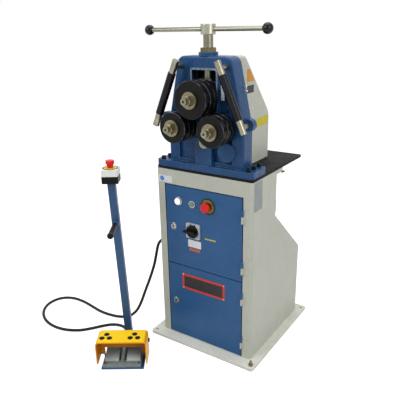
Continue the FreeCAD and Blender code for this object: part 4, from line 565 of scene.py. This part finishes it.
def on_right(y, z, x):
    """Place on a right-hand face: the piece's own Z points to the right, its X back and its Y up."""
    return Matrix.Translation((x, y, z)) @ Matrix(((0, 0, 1), (1, 0, 0), (0, 1, 0))).to_4x4()


def at_station(x, y, z):
    """Place upright in the foot station's own frame."""
    return STATION @ Matrix.Translation((x, y, z))


def lathe(profile, steps=64):
    """Solid of revolution about Z through (radius, height) points, or a ring if they start off the axis."""
    shape = bmesh.new()
    rings = []
    for radius, height in profile:
        if radius < 1e-6:
            rings.append([shape.verts.new((0, 0, height))] * steps)
            continue
        turns = [math.tau * step / steps for step in range(steps)]
        rings.append([
            shape.verts.new((radius * math.cos(turn), radius * math.sin(turn), height)) for turn in turns
        ])
    closed = rings if profile[0][0] < 1e-6 else rings + rings[:1]
    for low, high in zip(closed, closed[1:]):
        for step in range(steps):
            after = (step + 1) % steps
            corners = list(dict.fromkeys((low[step], low[after], high[after], high[step])))
            if len(corners) > 2:
                shape.faces.new(corners)
    return shape


def arc(radius, height, size, start, end, steps=8):
    """Round stretch of a profile about a centre, between two angles in degrees."""
    angles = [math.radians(start + (end - start) * step / steps) for step in range(steps + 1)]
    return [(radius + size * math.cos(turn), height + size * math.sin(turn)) for turn in angles]


def washer(inner, outer, thickness, edge=0.0003):
    """Flat ring that stands on Z = 0, with its outer top edge rounded."""
    return lathe([
        (inner, 0),
        (outer, 0),
        *arc(outer - edge, thickness - edge, edge, 0, 90, 4),
        (inner, thickness),
    ])


def prism(outline, low, high):
    """Outline in XY pulled along Z."""
    shape = bmesh.new()
    ends = [[shape.verts.new((x, y, level)) for x, y in outline] for level in (low, high)]
    for end in ends:
        shape.faces.new(end)
    for index in range(len(outline)):
        after = (index + 1) % len(outline)
        shape.faces.new((ends[0][index], ends[0][after], ends[1][after], ends[1][index]))
    return shape


def rounded(width, height, radius, steps=5):
    """Outline of a rectangle with round corners about the origin."""
    outline = []
    for quarter, (side_x, side_y) in enumerate(((1, 1), (-1, 1), (-1, -1), (1, -1))):
        x = side_x * (width / 2 - radius)
        y = side_y * (height / 2 - radius)
        outline += arc(x, y, radius, 90 * quarter, 90 * quarter + 90, steps)
    return outline


def bent_bar(points, radius):
    """Round bar along a bent line, as a mesh."""
    curve = bpy.data.curves.new("bent_bar", "CURVE")
    curve.dimensions = "3D"
    curve.bevel_depth = radius
    curve.bevel_resolution = 3
    curve.use_fill_caps = True
    spline = curve.splines.new("POLY")
    spline.points.add(len(points) - 1)
    for point, place in zip(spline.points, points):
        point.co = (*place, 1)
    line = bpy.data.objects.new("bent_bar", curve)
    shape = bmesh.new()
    mesh = bpy.data.meshes.new_from_object(line)
    shape.from_mesh(mesh)
    bpy.data.objects.remove(line)
    bpy.data.curves.remove(curve)
    bpy.data.meshes.remove(mesh)
    return shape


def add_piece(name, shape, place, material, body, edge=0.0):
    """Put a shape in its place as a piece that rides on a body."""
    bmesh.ops.recalc_face_normals(shape, faces=shape.faces)
    mesh = bpy.data.meshes.new(name)
    shape.to_mesh(mesh)
    shape.free()
    mesh.transform(place)
    mesh.shade_smooth()
    mesh.set_sharp_from_angle(angle=math.radians(38))
    mesh.materials.append(material.material)
    piece = bpy.data.objects.new(name, mesh)
    scene.collection.objects.link(piece)
    if edge:
        bevel = piece.modifiers.new("edge", "BEVEL")
        bevel.width = edge
        bevel.segments = 2
        bevel.limit_method = "ANGLE"
    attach(piece, body)
    return piece


def sticker(name, width, height, place, material, body):
    """Thin plate with round corners, laid on a face."""
    shape = prism(rounded(width, height, 0.0015), 0, STICKER)
    return add_piece(name, shape, place, material, body)


# ---------------------------------------------------------------- materials of the fine pieces
lens_white = plastic("lens_white", (0.92, 0.93, 0.95), 0.25)
lens_white.set("Emission Color", (1, 1, 1, 1))
lens_white.set("Emission Strength", 0.45)
label_white = paint("label_white", (0.76, 0.77, 0.80), 0.4, 0.05, 0.02, 0.0)
label_orange = paint("label_orange", (0.56, 0.14, 0.035), 0.4, 0.05, 0.06, 0.0)
label_yellow = paint("label_yellow", (0.58, 0.50, 0.010), 0.4, 0.05, 0.08, 0.0)
label_amber = paint("label_amber", (0.66, 0.27, 0.010), 0.4, 0.05, 0.08, 0.0)
label_blue = paint("label_blue", (0.10, 0.27, 0.62), 0.4, 0.05, 0.04, 0.0)
# dark print, also used as painted shade in the locks' key slots
dark_print_and_shade = paint("dark_print_and_shade", (0.020, 0.020, 0.028), 0.38, 0.05, 0.1, 0.0)
label_red = paint("label_red", (0.62, 0.052, 0.030), 0.36, 0.05, 0.05, 0.0)
ring_olive = paint("ring_olive", (0.27, 0.22, 0.02), 0.42, 0.1, 0.12, 0.0005)
ring_yellow = paint("ring_yellow", (0.72, 0.58, 0.02), 0.42, 0.1, 0.08, 0.0005)
plate_metal = paint("plate_metal", (0.30, 0.315, 0.325), 0.38, 0.05, 0.1, 0.0)


def scale_material():
    """Etched rule: pale with evenly spaced dark lines up its height."""
    shader = paint("scale", (0.58, 0.66, 0.72), 0.3, 0.05, 0.05, 0.0)
    pitch, gap = 0.005, 0.86
    steps = shader.math("DIVIDE", shader.whereabouts().outputs["Z"], pitch)
    line = shader.math("GREATER_THAN", shader.math("FRACT", steps, 0), gap)
    return shader.tint(line, (0.03, 0.03, 0.035), 0.8)


scale_metal = scale_material()


# ---------------------------------------------------------------- controls on the upper door
def pilot_lamp(x, z):
    """Lit lens on the bezel, and a thin bright ring round the bezel's foot."""
    lens = lathe([(0, -0.0004), (0.0132, -0.0004), (0.0132, 0.0006), *arc(0, -0.0260, 0.0297, 63.6, 90)])
    add_piece("pilot_lens", lens, on_front(x, z, FRONT - BEZEL_RISE), lens_white, "upper_door")
    ring = washer(0.0151, 0.0176, 0.0022, 0.0008)
    add_piece("pilot_ring", ring, on_front(x, z), chrome, "upper_door")


def push_rings(x, z):
    """Bright ring about the button, and a fine ring on its cap."""
    ring = washer(0.0118, 0.0142, 0.0008)
    place = on_front(x, z, FRONT - PUSH_BEZEL_RISE)
    add_piece("push_ring", ring, place, chrome, "upper_door")
    ring = washer(0.0062, 0.0074, 0.0005, 0.0002)
    place = on_front(x, z, FRONT - PUSH_CAP_RISE)
    add_piece("push_button_ring", ring, place, bezel_grey, "push_button")


def stop_plate(x, z):
    """Yellow ring behind the stop button, with a black rim and three dark marks."""
    plate = washer(0.0163, 0.0288, 0.0014)
    add_piece("stop_plate", plate, on_front(x, z), ring_olive, "upper_door")
    rim = washer(0.0289, 0.0320, 0.0020, 0.0006)
    add_piece("stop_plate_rim", rim, on_front(x, z), knob_black, "upper_door")
    for index, turn in enumerate((30, 150, 270)):
        outline = [*arc(0, 0, 0.0262, -16, 16, 6), *arc(0, 0, 0.0236, 16, -16, 6)]
        mark = prism(outline, 0.0014, 0.0017)
        place = on_front(x, z) @ Matrix.Rotation(math.radians(turn), 4, "Z")
        add_piece(f"stop_plate_mark_{index + 1}", mark, place, dark_print_and_shade, "upper_door")


def switch_marks(x, z):
    """Two dark marks and four small screws on the main switch's plate."""
    front = FRONT - SWITCH_PLATE_RISE
    corner = 0.027
    for name, side in (("left", -0.009), ("right", 0.011)):
        place = on_front(x + side, z + 0.0265, front)
        mark = prism(rounded(0.0075, 0.0050, 0.002), 0, 0.0003)
        add_piece(f"switch_mark_{name}", mark, place, dark_print_and_shade, "upper_door")
    for corner_x in (-corner, corner):
        for corner_z in (-corner, corner):
            side = f"{'left' if corner_x < 0 else 'right'}_{'low' if corner_z < 0 else 'high'}"
            screw = lathe([(0, 0), (0.0024, 0), (0.0024, 0.0004), (0.0019, 0.0009), (0, 0.0010)], 24)
            place = on_front(x + corner_x, z + corner_z, front)
            add_piece(f"switch_screw_{side}", screw, place, chrome, "upper_door")


def lock_face(name, x, z, body, turn):
    """Escutcheon fixed to the door, and the bright rim and a dark sheet of painted shade for the key slot,
    which turn with the lock.
    """
    door = body.replace("lock", "door")
    ring = prism(rounded(0.0250, 0.0320, 0.0124, 10), 0, 0.0012)
    add_piece(f"{name}_plate", ring, on_front(x, z), chrome, door, 0.0005)
    front = FRONT - LOCK_RISE
    place = on_front(x, z, front) @ Matrix.Rotation(math.radians(turn), 4, "Z")
    # painted shade: a thin dark sheet where the key slot's hole is
    slot = prism(rounded(0.0034, 0.0130, 0.0016), 0, 0.0003)
    add_piece(f"{name}_slot", slot, place, dark_print_and_shade, body)
    rim = washer(0.0082, 0.0098, 0.0004, 0.0002)
    add_piece(f"{name}_rim", rim, on_front(x, z, front), chrome, body)


pilot_lamp(*PILOT)
push_rings(*PUSH)
stop_plate(*STOP)
switch_marks(*SWITCH)
lock_face("upper_lock", *UPPER_LOCK, "upper_lock", 35)
lock_face("lower_lock", *LOWER_LOCK, "lower_lock", -40)


# ---------------------------------------------------------------- bare labels and plates
def front_label(name, left, right, low, high, material, body, y=FRONT):
    """Sticker between two x and two z on a front face."""
    place = on_front((left + right) / 2, (low + high) / 2, y)
    return sticker(name, right - left, high - low, place, material, body)


def right_label(name, front, back, low, high, material, x):
    """Sticker between two y and two z on a right-hand face of the body."""
    place = on_right((front + back) / 2, (low + high) / 2, x)
    return sticker(name, back - front, high - low, place, material, "frame")


front_label("switch_label", -0.073, -0.010, 0.451, 0.483, label_white, "upper_door")
front_label("switch_label_strip", -0.068, -0.016, 0.434, 0.4455, label_orange, "upper_door")
front_label("door_strip", 0.009, 0.060, 0.5000, 0.5055, label_yellow, "upper_door")
front_label("cabinet_label", -0.209, -0.144, 0.711, 0.738, label_white, "frame")
add_piece(
    "cabinet_label_dot", lathe([(0, 0.0004), (0.0105, 0.0004), (0.0105, 0.0006), (0, 0.0006)], 40),
    on_front(-0.1930, 0.7245), label_blue, "frame",
)
right_label("side_plate", -0.215, -0.152, 0.650, 0.763, plate_metal, CABINET_SIDE)
AMBER_PATCH = [(0.0, 0.0), (0.059, 0.0), (0.0223, 0.046), (0.0, 0.046)]  # inside the cover's slope
add_piece(
    "cover_patch_amber", prism(AMBER_PATCH, 0, STICKER), on_right(-0.072, 1.100, COVER_SIDE),
    label_amber, "frame",
)
right_label("cover_patch_dark", -0.071, -0.017, 1.058, 1.086, dark_print_and_shade, COVER_SIDE)
right_label("cover_patch_yellow", 0.015, 0.110, 0.917, 0.953, label_yellow, COVER_SIDE)


def door_plate():
    """Plain enamelled plate on the lower door: a red border about a dark field, with four rivets."""
    low, high, left, right = 0.249, 0.320, -0.108, 0.100
    border, inset = 0.010, 0.005
    front_label("door_plate", left, right, low, high, label_red, "lower_door")
    front_label(
        "door_plate_field", left + border, right - border, low + border, high - border,
        dark_print_and_shade, "lower_door", FRONT - STICKER,
    )
    rivet = [(0, 0.0002), (0.0028, 0.0002), *arc(0, -0.0016, 0.0034, 35, 90, 5)]
    for name, x in (("left", left + inset), ("right", right - inset)):
        for level, z in (("low", low + inset), ("high", high - inset)):
            add_piece(
                f"door_plate_rivet_{name}_{level}", lathe(rivet, 24), on_front(x, z),
                chrome, "lower_door",
            )


door_plate()


# ---------------------------------------------------------------- head
def feed_scale():
    """Rule beside the feed."""
    x, half, low, high = 0.0790, 0.007, 1.047, 1.103
    front_label(
        "feed_scale", x - half, x + half, low, high, scale_metal, "frame", CASTING_FRONT,
    )


def grease_fitting(name, y, z):
    """Small nipple square to the casting's slanted flank."""
    slope = math.atan2(FLANK_FOOT[0] - FLANK_TOP[0], FLANK_TOP[1] - FLANK_FOOT[1])
    x = FLANK_FOOT[0] - (z - FLANK_FOOT[1]) * math.tan(slope)
    place = Matrix.Translation((x, y, z)) @ Matrix.Rotation(math.radians(90) - slope, 4, "Y")
    profile = [
        (0, -0.001), (0.0042, -0.001), (0.0042, 0.0030), (0.0026, 0.0036), (0.0024, 0.0060),
        (0.0033, 0.0072), (0.0033, 0.0084), (0.0016, 0.0102), (0, 0.0104),
    ]
    add_piece(name, lathe(profile, 32), place, chrome, "frame")


def table_clip():
    """Black hook under the table behind the right gusset."""
    x, y = 0.209, 0.036
    bar = bent_bar([
        (x, y, 0.7655),
        (x, y, 0.7470),
        (x, y + 0.0012, 0.7435),
        (x, y + 0.0045, 0.7415),
        (x, y + 0.0240, 0.7400),
    ], 0.0036)
    add_piece("table_clip", bar, Matrix(), black_plastic, "frame")


feed_scale()
grease_fitting("grease_fitting_upper", -0.146, 1.0925)
grease_fitting("grease_fitting_lower", -0.146, 1.0765)
table_clip()


# ---------------------------------------------------------------- foot station
STATION_AXIS = (0.0695, 0.165)
BOX_TOP = 0.796
GRIP_AXIS = (0.0753, 0.5717)
GRIP_FRONT = 0.0285
GRIP_BACK = 0.1525
GUARD_TOP = 0.127
# depth of the black pieces of painted shade in the guard's holes
HOLE_SHADE_DEPTH = 0.0036
HOLE_GROUPS = (0.0215, 0.1348)
HOLE_PLACES = ((-0.015, 0.0315), (0.015, 0.0315), (0.0, 0.0565))
SILL_SCREWS = (("left", 0.015), ("right", 0.150))


def station_ring():
    """Yellow ring under the mushroom button, with a black rim."""
    place = at_station(*STATION_AXIS, BOX_TOP)
    ring = washer(0.0102, 0.0265, 0.0010)
    add_piece("station_ring", ring, place, ring_yellow, "frame")
    rim = washer(0.0266, 0.0300, 0.0014, 0.0005)
    add_piece("station_ring_rim", rim, place, knob_black, "frame")


def grip_details():
    """Collar where the grip meets the pole, a band near its end and its rounded end."""
    x, z = GRIP_AXIS
    along = Matrix.Rotation(math.radians(90), 4, "X")
    collar = washer(0.0111, 0.0135, 0.0140, 0.0020)
    place = at_station(x, GRIP_BACK - 0.0005, z) @ along
    add_piece("grip_collar", collar, place, blue_pole, "frame")
    band = washer(0.0111, 0.0122, 0.0050, 0.0006)
    place = at_station(x, GRIP_FRONT + 0.0075, z) @ along
    add_piece("grip_band", band, place, motor_grey, "frame")
    end = lathe([
        (0, -0.0005),
        (0.0109, -0.0005),
        *arc(0.0069, 0.0, 0.004, 0, 90, 6),
        (0.003, 0.0042),
        (0, 0.0036),
    ])
    place = at_station(x, GRIP_FRONT, z) @ along
    add_piece("grip_end", end, place, black_plastic, "frame")


def guard_hole_shades():
    """Black pieces in the two groups of three holes in the guard's top: painted shade for the dark inside
    seen through the holes.
    """
    hole_shade_profile = [
        (0, 0),
        (0.0077, 0),
        (0.0077, 0.0038),
        (0.0108, 0.0038),
        *arc(0.0098, 0.0042, 0.001, 0, 90, 4),
        (0, 0.0052),
    ]
    for group, middle in enumerate(HOLE_GROUPS):
        for index, (x, y) in enumerate(HOLE_PLACES):
            # painted shade: a black piece in each hole
            place = at_station(middle + x, y, GUARD_TOP - HOLE_SHADE_DEPTH)
            name = f"guard_hole_shade_{group + 1}_{index + 1}"
            add_piece(name, lathe(hole_shade_profile, 32), place, black_plastic, "frame")


def sill_screws():
    """Two round screw heads on the sill in front of the pedals."""
    head = [
        (0, -0.0003),
        (0.0038, -0.0003),
        *arc(0.0018, 0.0004, 0.002, 0, 90, 5),
        (0.0012, 0.0024),
        (0.0010, 0.0012),
        (0, 0.0012),
    ]
    for name, x in SILL_SCREWS:
        place = at_station(x, 0.012, 0.022)
        add_piece(f"sill_screw_{name}", lathe(head, 32), place, black_plastic, "frame")


station_ring()
grip_details()
guard_hole_shades()
sill_screws()


# ---------------------------------------------------------------- floor, light and world
def seen(tree):
    """1 for rays of the camera and for what gloss and glass show."""
    path = tree.nodes.new("ShaderNodeLightPath")
    total = None
    for name in ("Is Camera Ray", "Is Glossy Ray", "Is Transmission Ray"):
        if total is None:
            total = path.outputs[name]
            continue
        add = tree.nodes.new("ShaderNodeMath")
        add.operation = "MAXIMUM"
        tree.links.new(total, add.inputs[0])
        tree.links.new(path.outputs[name], add.inputs[1])
        total = add.outputs[0]
    return total


def make_floor():
    """Plain pale floor that glows where the camera sees it, so that it joins the background."""
    mesh = bpy.data.meshes.new("floor")
    far = 8
    corners = [(-far, -far, 0), (far, -far, 0), (far, far, 0), (-far, far, 0)]
    mesh.from_pydata(corners, [], [(0, 1, 2, 3)])
    floor = bpy.data.objects.new("floor", mesh)
    scene.collection.objects.link(floor)
    material = bpy.data.materials.new("floor")
    material.use_nodes = True
    tree = material.node_tree
    tree.nodes.remove(tree.nodes["Principled BSDF"])
    plain = tree.nodes.new("ShaderNodeBsdfDiffuse")
    plain.inputs["Color"].default_value = (0.55, 0.55, 0.55, 1)
    glow = tree.nodes.new("ShaderNodeEmission")
    glow.inputs["Color"].default_value = (1, 1, 1, 1)
    glow.inputs["Strength"].default_value = 0.86
    both = tree.nodes.new("ShaderNodeAddShader")
    mix = tree.nodes.new("ShaderNodeMixShader")
    output = tree.nodes["Material Output"]
    tree.links.new(plain.outputs[0], both.inputs[0])
    tree.links.new(glow.outputs[0], both.inputs[1])
    tree.links.new(seen(tree), mix.inputs[0])
    tree.links.new(plain.outputs[0], mix.inputs[1])
    tree.links.new(both.outputs[0], mix.inputs[2])
    tree.links.new(mix.outputs[0], output.inputs["Surface"])
    mesh.materials.append(material)


def make_world():
    """White world, dimmer for the light it throws than for what is seen of it."""
    world = bpy.data.worlds.new("world")
    scene.world = world
    world.use_nodes = True
    tree = world.node_tree
    background = tree.nodes["Background"]
    background.inputs["Color"].default_value = (1, 1, 1, 1)
    spread = tree.nodes.new("ShaderNodeMapRange")
    spread.inputs["To Min"].default_value = 0.32
    spread.inputs["To Max"].default_value = 1.0
    tree.links.new(seen(tree), spread.inputs["Value"])
    tree.links.new(spread.outputs["Result"], background.inputs["Strength"])


def area_light(name, place, aim, size, energy):
    """Rectangular lamp at a place, turned towards a point."""
    data = bpy.data.lights.new(name, "AREA")
    data.shape = "RECTANGLE"
    data.size, data.size_y = size
    data.energy = energy
    light = bpy.data.objects.new(name, data)
    scene.collection.objects.link(light)
    light.location = place
    light.rotation_mode = "QUATERNION"
    light.rotation_quaternion = (Vector(aim) - Vector(place)).to_track_quat("-Z", "Y")


make_floor()
make_world()
area_light("key", (-1.6, -3.0, 2.9), (0, -0.2, 0.7), (2.0, 2.0), 60)
area_light("side", (3.2, -1.2, 2.2), (0, 0, 0.7), (2.0, 2.2), 48)
area_light("top", (0.0, 0.1, 3.6), (0, -0.1, 0.9), (2.6, 2.6), 64)
